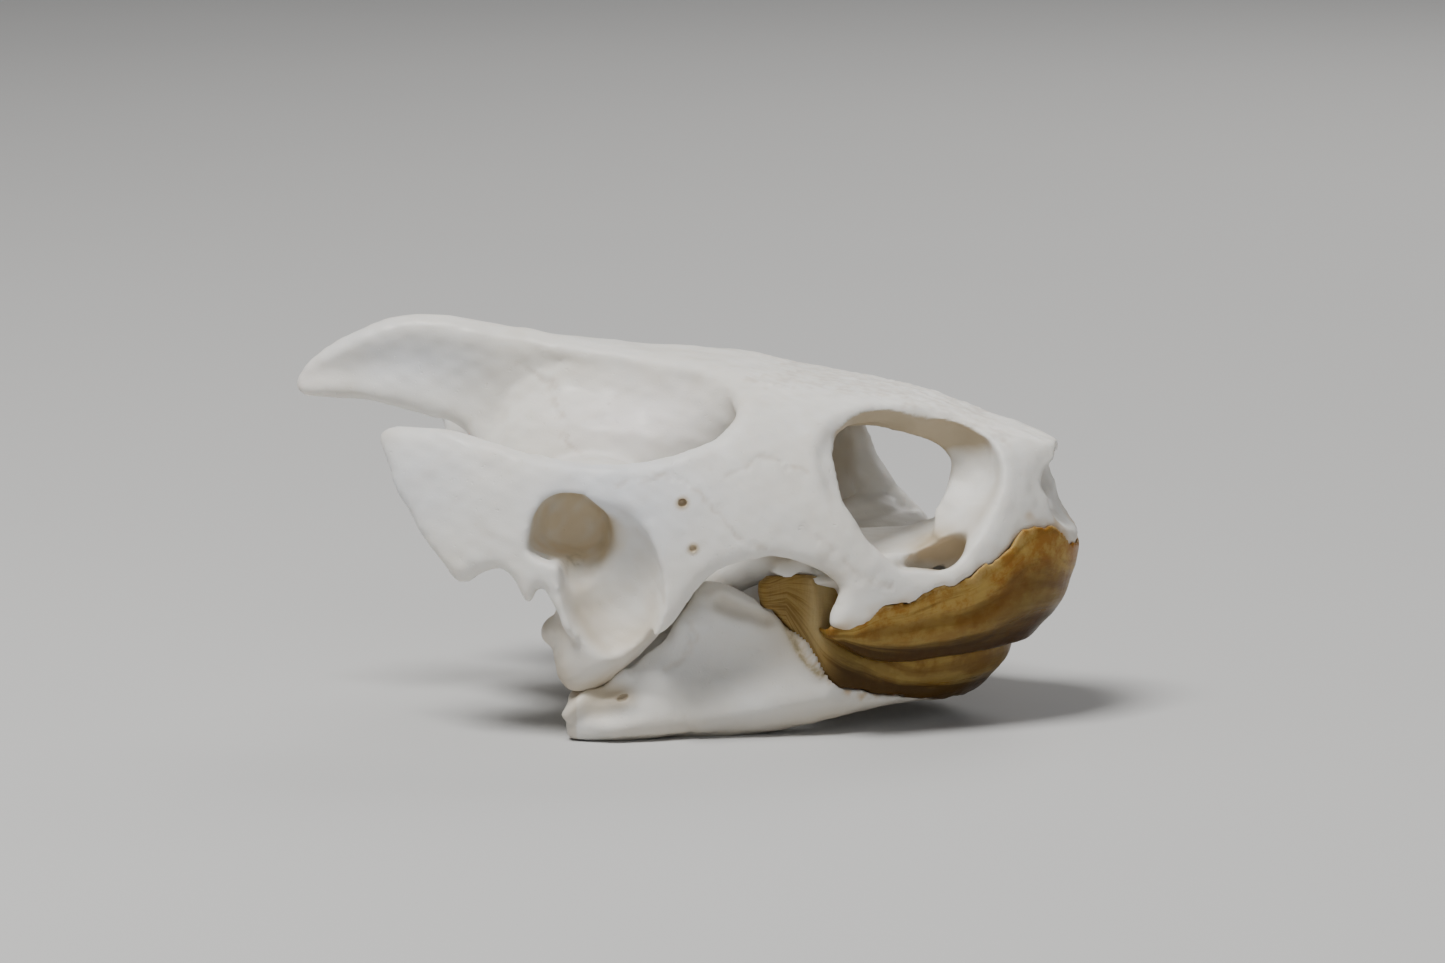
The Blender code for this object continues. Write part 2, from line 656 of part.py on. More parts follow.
def eye_socket(sign):
    """Hollow that gives the socket its smooth front wall and passes under the brow."""
    s = sign
    return [
        blob("socket", (15.3, s * 8.6, 15.1), (4.9, 7.2, 3.9), (0, 20, -s * 30)),
        blob("socket rear", (10.9, s * 5.4, 14.9), (4.1, 3.8, 2.9), (0, 12, 0)),
        blob("under the brow", (14.2, s * 7.5, 16.7), (4.4, 4.7, 3.3), (0, 14, 0)),
        blob("front of the brow", (16.4, s * 5.9, 16.1), (3.6, 4.1, 3.2), (0, 24, 0)),
        blob("low front of the socket", (15.8, s * 8.8, 12.6), (3.0, 4.0, 2.35)),
        blob("recess behind the socket", (7.5, s * 8.1, 14.3), (1.85, 2.4, 3.3)),
        palate_foramen(sign),
        limb("way to the fossa", ((10.5, s * 6.4, 15.2, 1.5, 2.4), (7.4, s * 7.6, 15.0, 1.9, 2.9),
                                  (4.6, s * 8.8, 15.0, 2.2, 3.2), (2.0, s * 9.2, 15.4, 2.2, 3.0),
                                  (-0.8, s * 9.6, 16.6, 1.4, 2.0))),
    ]


def palate_foramen(sign):
    """Drop-shaped opening low in the front of the socket, leading inwards and down."""
    outline = rounded(PALATE_FORAMEN)
    rings = []
    for y, drop, size in ((11.0, -0.5, 1.1), (8.0, 0.0, 1.0), (5.2, 0.4, 1.0), (4.0, 1.2, 0.9),
                          (3.0, 2.1, 0.6)):
        flat = outline.mean(0) + (outline - outline.mean(0)) * size
        rings.append(np.column_stack([flat[:, 0], np.full(len(flat), sign * y), flat[:, 1] - drop]))
    return loft("palate foramen", rings)


def ear_basin(sign):
    """Funnel of the ear drum, and above its floor's rear the arched way into the squamosal."""
    s = sign
    angle = np.linspace(0, math.pi, 17)
    arch = np.column_stack([
        2.45 * np.sign(np.cos(angle)) * np.abs(np.cos(angle)) ** 0.8, 3.5 * np.sin(angle) ** 0.9
    ])
    floor = [(-1.9, -0.4), (-0.8, -0.7), (0.8, -0.9), (2.0, -0.5)]
    rings = []
    for y, x, size in ((16.0, -5.45, 1.0), (13.2, -5.5, 1.0), (11.4, -5.6, 1.04), (9.6, -5.7, 0.95),
                       (8.4, -5.8, 0.7)):
        flat = np.vstack([arch, floor]) * size + (x, 11.8)
        rings.append(np.column_stack([flat[:, 0], np.full(len(flat), s * y), flat[:, 1]]))
    return [
        blob("basin", (-2.7, s * 15.3, 9.8), (3.3, 4.2, 5.2), (0, -6, 0)),
        limb("slope into the basin", ((-5.0, s * 9.2, 12.6, 1.1, 1.3), (-4.8, s * 11.0, 12.0, 1.3, 1.6),
                                      (-4.3, s * 13.0, 10.9, 1.7, 2.0), (-3.6, s * 15.0, 9.6, 2.2, 2.4))),
        loft("way into the squamosal", rings),
    ]


def eye_window():
    """Opening between the two eye sockets under the roof, cut straight across the skull."""
    def surface(u, v):
        return np.stack([u, 0 * u, v], 1), np.tile((0.0, 1.0, 0.0), (len(u), 1))

    return plate(
        "eye window", [rounded(EYE_WINDOW)], surface,
        lambda u, v: np.full(len(u), 4.6), edge_radius=0.4, step=0.6,
    )


def mid_hollows():
    """Nose, the braincase's front and rear openings and the inner nostrils."""
    made = [
        eye_window(),
        blob("nose notch", (25.6, 0, 14.9), (3.8, 9.0, 1.9)),
        blob("nose's lower rim", (26.2, 0, 13.6), (3.9, 9.0, 2.4)),
        blob("nose", (24.6, 0, 14.5), (5.4, 2.7, 2.1), (0, 8, 0)),
        blob("braincase front", (7.2, 0, 14.6), (4.2, 1.9, 2.8)),
        blob("foramen magnum", (-13.4, 0, 12.9), (4.4, 1.7, 1.7)),
    ]
    made += [blob("inner nostril", (14.8, s * 1.9, 9.8), (2.3, 1.0, 1.4)) for s in (1, -1)]
    return made


def cranium_pieces():
    pieces = [face_shell(), crest(), braincase(), brow_keel(), snout(), tooth_shelf(), palate()]
    pieces.append(socket_floor())
    pieces.append(blob("condyle", (-13.2, 0, 10.4), (1.7, 1.5, 1.3)))
    for sign in (1, -1):
        pieces += [quadrate(sign)] + ear_region(sign)
    return pieces


def make_cranium(horns):
    pieces = cranium_pieces()
    skull = pieces[0]
    skull.name = "cranium"
    combine(skull, pieces[1:], "UNION")
    hollows = mid_hollows()
    for sign in (1, -1):
        hollows += eye_socket(sign) + ear_basin(sign)
    combine(skull, hollows, "DIFFERENCE")
    melt(skull, VOXEL, 5)
    keep_largest(skull)
    thin_out(skull, CRANIUM_FACES)
    combine(skull, [grown(horn, GAP) for horn in horns], "DIFFERENCE")
    keep_largest(skull)
    return skull


# Horn of the upper jaw.

# Upper border and cutting edge of the horn from the rear to the snout, as (x, z).
UPPER_BORDER = (
    (9.6, 7.5), (11.6, 7.7), (13.1, 8.3), (14.8, 8.5), (16.2, 9.1), (18.5, 9.9), (20.3, 11.2),
    (21.6, 12.4), (22.8, 12.3), (24.2, 10.7),
)
UPPER_EDGE = ((9.6, 6.6), (10.8, 6.0), (12.8, 4.9), (15.6, 4.4), (18.1, 4.5), (24.2, 4.7))
# How far the horn turns in under itself, as a share of its reach to the lower jaw, by height.
UPPER_LEAN = ((4.4, 1.0), (5.4, 0.78), (6.0, 0.58), (7.1, 0.34), (8.9, 0.1), (10.6, 0.0), (13, 0.0))
SHELF_Z = 7.0
UPPER_REAR_X = 10.4


def upper_sheath():
    """Horn over the upper jaw: outer wall, cutting edge and shelf under the palate."""
    border, edge, lean = profile(UPPER_BORDER), profile(UPPER_EDGE), profile(UPPER_LEAN)
    reach = float(upper_line.distance(UPPER_REAR_X))
    rings = []
    for s in np.linspace(-reach, reach, 63):
        x = float(upper_line.at([s])[0][0, 0])
        low = float(edge(x))
        high = max(float(border(x)), low + 1.0)
        inner = float(upper_line.depth_to(lower_line, s)) - GAP
        tip = inner - 0.5
        outer = [(float(lean(z)) * tip, z) for z in np.linspace(high, low + 0.2, 9)]
        under = [(inner, low), (inner + 0.2, low + 0.5), (inner + 0.7, SHELF_Z - 0.35),
                 (inner + 2.6, SHELF_Z)]
        roof_of_shelf = SHELF_Z + 0.7
        over = [(inner + 2.6, roof_of_shelf), (inner + 0.6, roof_of_shelf + 0.2)]
        back = [
            (HORN + float(lean(z)) * tip, z)
            for z in np.linspace(roof_of_shelf + 0.6, max(high, roof_of_shelf + 0.6), 4)
        ]
        rings.append(ring_round_jaw(upper_line, s, outer + under + over + back))
    return rings_to_solid("upper_beak_sheath", rings)


def rings_to_solid(name, rings):
    """Loft through rings that may differ in count, each walked at even steps, its ends rounded."""
    count = 40
    even = []
    for ring in rings:
        ends = np.vstack([ring, ring[:1]])
        length = np.concatenate([[0], np.cumsum(np.linalg.norm(np.diff(ends, axis=0), axis=1))])
        at = np.linspace(0, length[-1], count, endpoint=False)
        even.append(np.stack([np.interp(at, length, ends[:, k]) for k in range(3)], 1))
    for first, second in ((0, 1), (-1, -2)):
        beyond = 2 * even[first].mean(0) - even[second].mean(0)
        tip = beyond + 0.45 * (even[first] - even[first].mean(0))
        even = [tip] + even if first == 0 else even + [tip]
    return loft(name, even)


# Lower jaw.

# Side view of the left half of the lower jaw, as (x, z), from the rear end forwards.
MANDIBLE_UPPER = (
    (-5.9, 2.5), (-4.4, 3.2), (-2.2, 4.3), (-0.9, 5.2), (0.4, 6.0), (1.3, 7.3), (2.1, 8.1),
    (2.7, 9.1), (3.4, 9.5), (4.5, 9.3), (5.9, 8.7), (7.1, 7.9), (8.2, 6.8), (9.6, 6.1),
    (12.0, 5.7), (16.0, 5.4),
)
MANDIBLE_LOWER = ((16.0, 1.4), (12.0, 0.9), (8.0, 0.2), (4.0, -0.3), (-3.6, -0.3), (-5.6, 0.2))
# How far the lower jaw's outer face lies inside the jaw line in front, by height.
LOWER_LEAN = ((0.0, 4.4), (0.8, 3.5), (1.7, 2.0), (3.6, 0.5), (4.5, 0.05), (5.2, 0.6), (7.0, 1.4))
# The same at the sides of the jaw.
SIDE_LEAN = ((-0.3, 1.3), (0.8, 0.7), (2.5, 0.2), (4.5, 0.0), (7.0, 0.5), (9.5, 1.3))

# Rear and lower border of the lower jaw's horn, as (x, z), and where its rear sheet ends.
LOWER_BORDER = (
    (7.2, 7.8), (8.4, 6.0), (9.4, 4.2), (10.4, 3.2), (12.1, 2.7), (13.8, 2.3), (15.4, 2.0),
    (17.5, 1.6), (20.2, 1.4),
)
LOWER_REAR_X = 6.7
# Top of the thin sheet that the lower horn ends in, and the middle of the column in it.
SHEET_TOP = (
    (6.1, 8.6), (6.7, 9.3), (7.4, 9.7), (8.3, 9.75), (9.3, 9.7), (10.3, 9.5), (11.2, 8.9), (12.4, 6.4),
)
COLUMN_X = 9.25


def sheet_lean(s, z):
    """How far the outer face of the lower horn's rear sheet lies inside the jaw line."""
    return lower_lean(s, np.minimum(z, 4.6)) + 0.04 + 0.28 * np.clip(z - 4.6, 0, None)


def lower_lean(s, z):
    """How far the lower jaw's outer face lies inside the jaw line."""
    front = np.clip(1 - np.abs(s) / 17.0, 0, 1)
    front = front * front * (3 - 2 * front)
    return front * profile(LOWER_LEAN)(z) + (1 - front) * profile(SIDE_LEAN)(z)


def jaw_plate():
    """Both halves of the lower jaw as one plate, unrolled along the jaw line."""
    upper = [(float(lower_line.distance(x)), z) for x, z in MANDIBLE_UPPER]
    lower = [(float(lower_line.distance(x)), z) for x, z in MANDIBLE_LOWER]
    left = upper + [(0.0, 5.3)]
    right = [(-s, z) for s, z in upper][::-1] + [(-s, z) for s, z in lower][::-1]
    outline = rounded(left + right + [(0.0, 1.0)] + lower)
    reach = lower_line.reach

    def half(s, z):
        rear = np.clip((np.abs(s) - 16) / (reach - 16), 0, 1)
        front = np.clip(1 - np.abs(s) / 12, 0, 1)
        low = np.clip((4.5 - z) / 3.5, 0, 1)
        return 0.75 + 0.45 * low + 0.55 * front + 0.5 * rear * low

    def surface(s, z):
        places, inward = lower_line.at(s)
        hollow = 0.7 * np.exp(-((np.abs(s) - 19.5) / 3.2) ** 2 - ((z - 5.0) / 2.0) ** 2)
        depth = lower_lean(s, z) + half(s, z) + hollow
        flat = places + inward * depth[:, None]
        return np.column_stack([flat, z]), np.column_stack([inward, 0 * s])

    return plate("jaw plate", [outline], surface, half, edge_radius=1.1)


def jaw_joint(sign):
    """Broad rear end of the lower jaw that bears the skull's joint knob."""
    s = sign
    return [
        loft("joint block", [
            np.column_stack([np.full(24, x), oval((s * y, z), (wide, high), 0.0, 3.6, 24)])
            for x, y, z, wide, high in (
                (-5.9, 10.7, 1.3, 1.5, 1.0), (-5.5, 10.7, 1.3, 2.0, 1.35), (-4.4, 10.6, 1.4, 2.3, 1.5),
                (-2.6, 10.5, 1.5, 2.2, 1.6), (-0.5, 10.3, 1.5, 1.6, 1.5), (1.2, 10.2, 1.5, 0.9, 1.2),
            )
        ]),
        limb("inner beam", ((-3.4, s * 9.9, 1.5, 1.6, 1.5), (2.0, s * 9.9, 1.7, 1.1, 1.5),
                            (8.0, s * 8.6, 2.2, 0.9, 1.3))),
    ]


def make_mandible(horn):
    jaw = jaw_plate()
    jaw.name = "mandible"
    pieces = [blob("chin shelf", (15.4, 0, 2.9), (2.2, 4.2, 1.7))]
    for sign in (1, -1):
        pieces += jaw_joint(sign)
    combine(jaw, pieces, "UNION")
    melt(jaw, VOXEL, 4)
    thin_out(jaw, MANDIBLE_FACES)
    floor = box("floor", (-30, -30, -4), (30, 30, 0))
    cutters = [floor, grown(horn, GAP)] + [quadrate(s, GAP, 9.0) for s in (1, -1)]
    combine(jaw, cutters, "DIFFERENCE")
    keep_largest(jaw)
    return jaw


def box(name, low, high):
    xs, ys, zs = zip(low, high)
    points = [(x, y, z) for x in xs for y in ys for z in zs]
    faces = [[0, 1, 3, 2], [4, 6, 7, 5], [0, 4, 5, 1], [2, 3, 7, 6], [0, 2, 6, 4], [1, 5, 7, 3]]
    return solid(name, points, faces)


def lower_sheath():
    """Horn over the front of the lower jaw, its cutting edge inside the upper one.

    Behind, it stands up as a thin sheet with a rounded column in it.
    """
    border, sheet = profile(LOWER_BORDER), profile(SHEET_TOP)
    reach = float(lower_line.distance(LOWER_REAR_X))
    rings = []
    for s in np.linspace(-reach, reach, 71):
        x = float(lower_line.at([s])[0][0, 0])
        low, upper = float(border(x)), float(sheet(x))
        sag = 0.8 * (1 - abs(s) / reach)
        shelf = 4.6 - 2.5 * min(max(0.0, (abs(s) / reach - 0.5) / 0.3), 1.0)
        front = [(float(lower_lean(s, z)), z) for z in np.linspace(low, 4.6, 6)]
        front += [(0.7, 5.3), (1.2, 6.1), (1.8, 6.05), (0.5 * shelf + 1.2, 5.7 - sag),
                  (shelf, 5.2 - sag), (shelf, 4.4 - sag), (0.5 * shelf + 0.4, 4.8 - 0.5 * sag),
                  (HORN + 0.5, 4.8)]
        front += [(HORN + float(lower_lean(s, z)), z) for z in np.linspace(4.0, low, 4)]
        upper = max(upper, low + 0.8)
        rise = np.linspace(0, 1, 9)
        column = 0.45 * math.exp(-(((x - COLUMN_X) / 1.05) ** 2)) * np.clip(2.5 * rise - 0.4, 0, 1)
        outer = sheet_lean(s, low + (upper - low) * rise) - column
        rear = [(depth, low + (upper - low) * share) for depth, share in zip(outer, rise)]
        rear += [(outer[-1] + 0.35, upper + 0.1), (outer[-1] + 0.75, upper)]
        rear += [(float(sheet_lean(s, low + (upper - low) * share)) + 0.85, low + (upper - low) * share)
                 for share in np.linspace(0.9, 0, 7)]
        share = min(max(0.0, (12.4 - x) / 1.1), 1.0)
        share = share * share * (3 - 2 * share)
        ring = (1 - share) * np.array(front) + share * np.array(rear)
        rings.append(ring_round_jaw(lower_line, s, ring))
    return rings_to_solid("lower_beak_sheath", rings)


def finish_sheath(obj):
    melt(obj, 0.3, 2)
    keep_largest(obj)
    thin_out(obj, SHEATH_FACES)
    return obj


def grown(obj, by, faces=1500):
    """Copy of a closed mesh, swollen evenly, for cutting its seat."""
    swollen = bpy.data.objects.new("seat", obj.data.copy())
    bpy.context.scene.collection.objects.link(swollen)
    displace = swollen.modifiers.new("swell", "DISPLACE")
    displace.strength = by * MM
    displace.mid_level = 0.0
    remesh = swollen.modifiers.new("even skin", "REMESH")
    remesh.mode = "VOXEL"
    remesh.voxel_size = 0.3 * MM
    bake(swollen)
    thin_out(swollen, faces)
    return swollen


def paint(obj, name, colour, roughness):
    obj.data.shade_smooth()
    material = bpy.data.materials.new(name)
    material.use_nodes = True
    shader = material.node_tree.nodes["Principled BSDF"]
    shader.inputs["Base Color"].default_value = (*colour, 1.0)
    shader.inputs["Roughness"].default_value = roughness
    shader.inputs["Metallic"].default_value = 0.0
    obj.data.materials.clear()
    obj.data.materials.append(material)


def main():
    for obj in list(bpy.data.objects):
        bpy.data.objects.remove(obj)
    upper = finish_sheath(upper_sheath())
    lower = finish_sheath(lower_sheath())
    combine(upper, [grown(lower, GAP)], "DIFFERENCE")
    keep_largest(upper)
    paint(make_cranium([upper, lower]), "bone", (0.86, 0.83, 0.77), 0.5)
    paint(make_mandible(lower), "jaw bone", (0.86, 0.83, 0.76), 0.5)
    paint(upper, "upper horn", (0.42, 0.27, 0.08), 0.4)
    paint(lower, "lower horn", (0.50, 0.36, 0.13), 0.45)


main()
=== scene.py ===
"""Looks of the turtle skull: ivory bone with its sutures and nerve holes, and the amber horn beak.

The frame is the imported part: +X towards the snout, +Y to the animal's left, +Z up, metres.
Shapes are worked out in millimetres, by the same rules as the part's solids but finer.
"""

import math

import bmesh
import bpy
import numpy as np
from mathutils import Euler, Matrix, Vector
from mathutils.geometry import delaunay_2d_cdt


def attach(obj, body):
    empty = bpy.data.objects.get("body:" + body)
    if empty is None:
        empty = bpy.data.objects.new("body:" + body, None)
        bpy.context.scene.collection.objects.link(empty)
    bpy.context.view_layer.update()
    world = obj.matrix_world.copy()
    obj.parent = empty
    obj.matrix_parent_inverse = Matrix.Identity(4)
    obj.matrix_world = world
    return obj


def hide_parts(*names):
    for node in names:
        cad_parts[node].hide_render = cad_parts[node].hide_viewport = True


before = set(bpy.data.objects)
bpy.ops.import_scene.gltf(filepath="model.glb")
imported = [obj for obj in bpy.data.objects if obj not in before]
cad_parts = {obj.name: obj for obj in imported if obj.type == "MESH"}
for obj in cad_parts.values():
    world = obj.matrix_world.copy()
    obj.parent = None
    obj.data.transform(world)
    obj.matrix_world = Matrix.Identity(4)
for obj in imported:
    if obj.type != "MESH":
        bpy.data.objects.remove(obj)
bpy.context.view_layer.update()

MM = 0.001

# Overall sizes, in millimetres.
SNOUT_X = 24.2
WIDEST_X = -4.0
HALF_WIDTH = 14.4
SQUAMOSAL_END_X = -17.0
SQUAMOSAL_HALF_WIDTH = 11.2
ROSTRUM_FULLNESS = 1.6
ROSTRUM_ROUNDNESS = 1.9
SHELL_LOW_Z = 6.0
SECTION_SQUARENESS = 3.1

# The lower jaw's outer line, an ellipse seen from above.
JAW_FRONT_X = 20.2
JAW_MIDDLE_X = -8.0
JAW_HALF_WIDTH = 12.3
JAW_REAR_X = -5.8

# Thicknesses and clearances.
BONE = 1.5
HORN = 0.9
GAP = 0.32
SEAT_GAP = 0.06
BITE_GAP = 0.08

# How finely plates, rings and the fused bone and horn are divided.
PLATE_STEP = 0.45
RING_POINTS = 28
SHEATH_RING_POINTS = 110
BONE_VOXEL = 0.17
HORN_VOXEL = 0.14

# Mid-line of the skull's roof from the crest's rear to the front of the snout, as (x, z).
ROOF_LINE = (
    (-24.5, 20.7), (-20.0, 23.2), (-17.2, 24.05), (-13.5, 23.8), (-8.0, 23.0), (-3.0, 22.4),
    (2.0, 21.95), (7.0, 21.0), (11.3, 20.35), (14.4, 19.8), (18.7, 18.4), (22.4, 17.15),
    (23.3, 16.75), (23.8, 15.6), (24.2, 12.0),
)


def unit(value):
    """The value held between 0 and 1."""
    return np.clip(value, 0, 1)


def ramp(value):
    """0 below 0, 1 above 1, and smooth between."""
    share = unit(value)
    return share * share * (3 - 2 * share)


def bell(value):
    """1 at 0, falling softly to nothing on both sides."""
    return np.exp(-(value**2))


def profile(knots):
    """Smooth curve through (position, value) knots, as a function."""
    at, value = np.array(knots, float).T
    slope = np.gradient(value, at)

    def curve(x):
        x = np.clip(np.asarray(x, float), at[0], at[-1])
        i = np.clip(np.searchsorted(at, x) - 1, 0, len(at) - 2)
        span = at[i + 1] - at[i]
        t = (x - at[i]) / span
        start = (1 + 2 * t) * (1 - t) ** 2 * value[i] + t * (1 - t) ** 2 * span * slope[i]
        end = t * t * (3 - 2 * t) * value[i + 1] + t * t * (t - 1) * span * slope[i + 1]
        return start + end

    return curve


def rounded(points, steps=5):
    """Closed Catmull-Rom curve through a few outline points."""
    p = np.array(points, float)
    before, after, beyond = np.roll(p, 1, 0), np.roll(p, -1, 0), np.roll(p, -2, 0)
    out = []
    for t in np.arange(steps) / steps:
        bend = t * t * (before - 2.5 * p + 2 * after - 0.5 * beyond)
        twist = t**3 * (1.5 * (p - after) + 0.5 * (beyond - before))
        out.append(p + 0.5 * t * (after - before) + bend + twist)
    return np.stack(out, 1).reshape(-1, 2)


def oval(centre, radii, tilt, power, count):
    """Outline of a superellipse in a plane; tilt is in degrees."""
    a = np.linspace(0, 2 * math.pi, count, endpoint=False)
    u = radii[0] * np.sign(np.cos(a)) * np.abs(np.cos(a)) ** (2 / power)
    v = radii[1] * np.sign(np.sin(a)) * np.abs(np.sin(a)) ** (2 / power)
    c, s = math.cos(math.radians(tilt)), math.sin(math.radians(tilt))
    return np.stack([centre[0] + c * u - s * v, centre[1] + s * u + c * v], 1)


roof_z = profile(ROOF_LINE)


def half_width(x):
    """Half the skull's width at jaw level, seen from above."""
    x = np.asarray(x, float)
    u = unit((x - WIDEST_X) / (SNOUT_X - WIDEST_X))
    front = HALF_WIDTH * (1 - u**ROSTRUM_FULLNESS) ** (1 / ROSTRUM_ROUNDNESS)
    back_share = np.clip((WIDEST_X - x) / (WIDEST_X - SQUAMOSAL_END_X), 0, 1.2)
    back = HALF_WIDTH - (HALF_WIDTH - SQUAMOSAL_HALF_WIDTH) * back_share**2
    return np.where(x > WIDEST_X, front, back)


def shell_table():
    """Arc length across a typical section of the shell, by the angle from the mid-line."""
    t = np.linspace(0, 1, 1500)
    angle = math.pi / 2 * (3 * t**2 - 2 * t**3)
    y = 11.0 * np.sin(angle) ** (2 / SECTION_SQUARENESS)
    z = 14.0 * unit(np.cos(angle)) ** (2 / SECTION_SQUARENESS)
    arc = np.concatenate([[0], np.cumsum(np.hypot(np.diff(y), np.diff(z)))])
    return angle, arc


ANGLES, ARCS = shell_table()


def shell(x, w):
    """Points of the skull's outer shell: x along it, and w across it from the mid-line."""
    x, w = np.asarray(x, float), np.asarray(w, float)
    angle = np.interp(np.abs(w), ARCS, ANGLES)
    y = np.sign(w) * half_width(x) * np.sin(angle) ** (2 / SECTION_SQUARENESS)
    rise = unit(np.cos(angle)) ** (2 / SECTION_SQUARENESS)
    below = np.clip(np.abs(w) - ARCS[-1], 0, None)
    z = SHELL_LOW_Z + (roof_z(x) - SHELL_LOW_Z) * rise - below
    return np.stack([x + 0 * w, y, z], -1)


def side(x, z):
    """Place on the unrolled shell of a point seen from the side."""
    if z < SHELL_LOW_Z:
        return x, ARCS[-1] + SHELL_LOW_Z - z
    rise = min((z - SHELL_LOW_Z) / (float(roof_z(x)) - SHELL_LOW_Z), 1.0)
    return x, float(np.interp(math.acos(rise ** (SECTION_SQUARENESS / 2)), ANGLES, ARCS))


def top(x, y):
    """Place on the unrolled shell of a point seen from above."""
    share = y / float(half_width(x))
    return x, float(np.interp(math.asin(share ** (SECTION_SQUARENESS / 2)), ANGLES, ARCS))


def placed(name, data):
    """New object in the scene that shows the data."""
    made = bpy.data.objects.new(name, data)
    bpy.context.scene.collection.objects.link(made)
    return made


def solid(name, points, faces):
    """Mesh object from points in millimetres, its faces turned outwards."""
    points = np.asarray(points, float)
    volume = 0.0
    for face in faces:
        a = points[face[0]]
        for i in range(1, len(face) - 1):
            volume += np.dot(a, np.cross(points[face[i]], points[face[i + 1]]))
    if volume < 0:
        faces = [face[::-1] for face in faces]
    mesh = bpy.data.meshes.new(name)
    mesh.from_pydata((points * MM).tolist(), [], [list(map(int, face)) for face in faces])
    return placed(name, mesh)


def loft(name, rings):
    """Closed solid through rings of equal count, each end closed by a fan."""
    rings = np.asarray(rings, float)
    n, m, _ = rings.shape
    points = np.vstack([rings.reshape(-1, 3), rings[0].mean(0), rings[-1].mean(0)])
    faces = []
    for i in range(n - 1):
        for j in range(m):
            k = (j + 1) % m
            faces.append([i * m + j, i * m + k, (i + 1) * m + k, (i + 1) * m + j])
    for j in range(m):
        k = (j + 1) % m
        faces.append([n * m, k, j])
        faces.append([n * m + 1, (n - 1) * m + j, (n - 1) * m + k])
    return solid(name, points, faces)


def blob(name, centre, radii, turn=(0, 0, 0), fineness=4):
    """Ellipsoid; turn holds rotations about x, y and z in degrees."""
    sphere = bmesh.new()
    bmesh.ops.create_icosphere(sphere, subdivisions=fineness, radius=1.0)
    mesh = bpy.data.meshes.new(name)
    sphere.to_mesh(mesh)
    sphere.free()
    turned = Euler([math.radians(angle) for angle in turn])
    mesh.transform(Matrix.LocRotScale(Vector(centre) * MM, turned, Vector(radii) * MM))
    return placed(name, mesh)


def limb(name, stations):
    """Rounded bar through stations (x, y, z, half width, half height), across the path."""
    stations = np.array(stations, float)
    centres = stations[:, :3]
    along = np.gradient(centres, axis=0)
    rings = []
    angles = np.linspace(0, 2 * math.pi, RING_POINTS, endpoint=False)
    for place, direction, (wide, high) in zip(centres, along, stations[:, 3:]):
        direction = direction / np.linalg.norm(direction)
        level = np.cross((0, 0, 1), direction)
        if np.linalg.norm(level) < 0.2:
            level = np.array((0.0, 1.0, 0.0))
        level = level / np.linalg.norm(level)
        upward = np.cross(direction, level)
        ring = np.outer(np.cos(angles) * wide, level) + np.outer(np.sin(angles) * high, upward)
        rings.append(place + ring)
    return loft(name, rings)


def walked(loop, count=None):
    """The closed loop at even distances, about PLATE_STEP apart where no count is given."""
    ends = np.vstack([loop, loop[:1]])
    length = np.concatenate([[0], np.cumsum(np.linalg.norm(np.diff(ends, axis=0), axis=1))])
    count = count or max(8, round(length[-1] / PLATE_STEP))
    at = np.linspace(0, length[-1], count, endpoint=False)
    return np.stack([np.interp(at, length, line) for line in ends.T], 1)


def inside(points, loops):
    """Whether each point is within the first outline and outside the others."""
    held = np.zeros(len(points), bool)
    for loop in loops:
        x1, y1 = loop.T
        x2, y2 = np.roll(loop, -1, 0).T
        px, py = points[:, 0:1], points[:, 1:2]
        crosses = (y1 > py) != (y2 > py)
        rise = np.where(y2 == y1, 1e-9, y2 - y1)
        held ^= (crosses & (px < (x2 - x1) * (py - y1) / rise + x1)).sum(1) % 2 == 1
    return held


def to_edge(points, loops):
    """Distance of each point from the nearest outline."""
    nearest = np.full(len(points), 1e9)
    for first in range(0, len(points), 2000):
        some = points[first:first + 2000]
        for loop in loops:
            a, b = loop, np.roll(loop, -1, 0)
            run = b - a
            reach = ((some[:, None] - a) * run).sum(2) / (run * run).sum(1)
            foot = a + unit(reach)[..., None] * run
            gap = np.linalg.norm(some[:, None] - foot, axis=2).min(1)
            nearest[first:first + 2000] = np.minimum(nearest[first:first + 2000], gap)
    return nearest


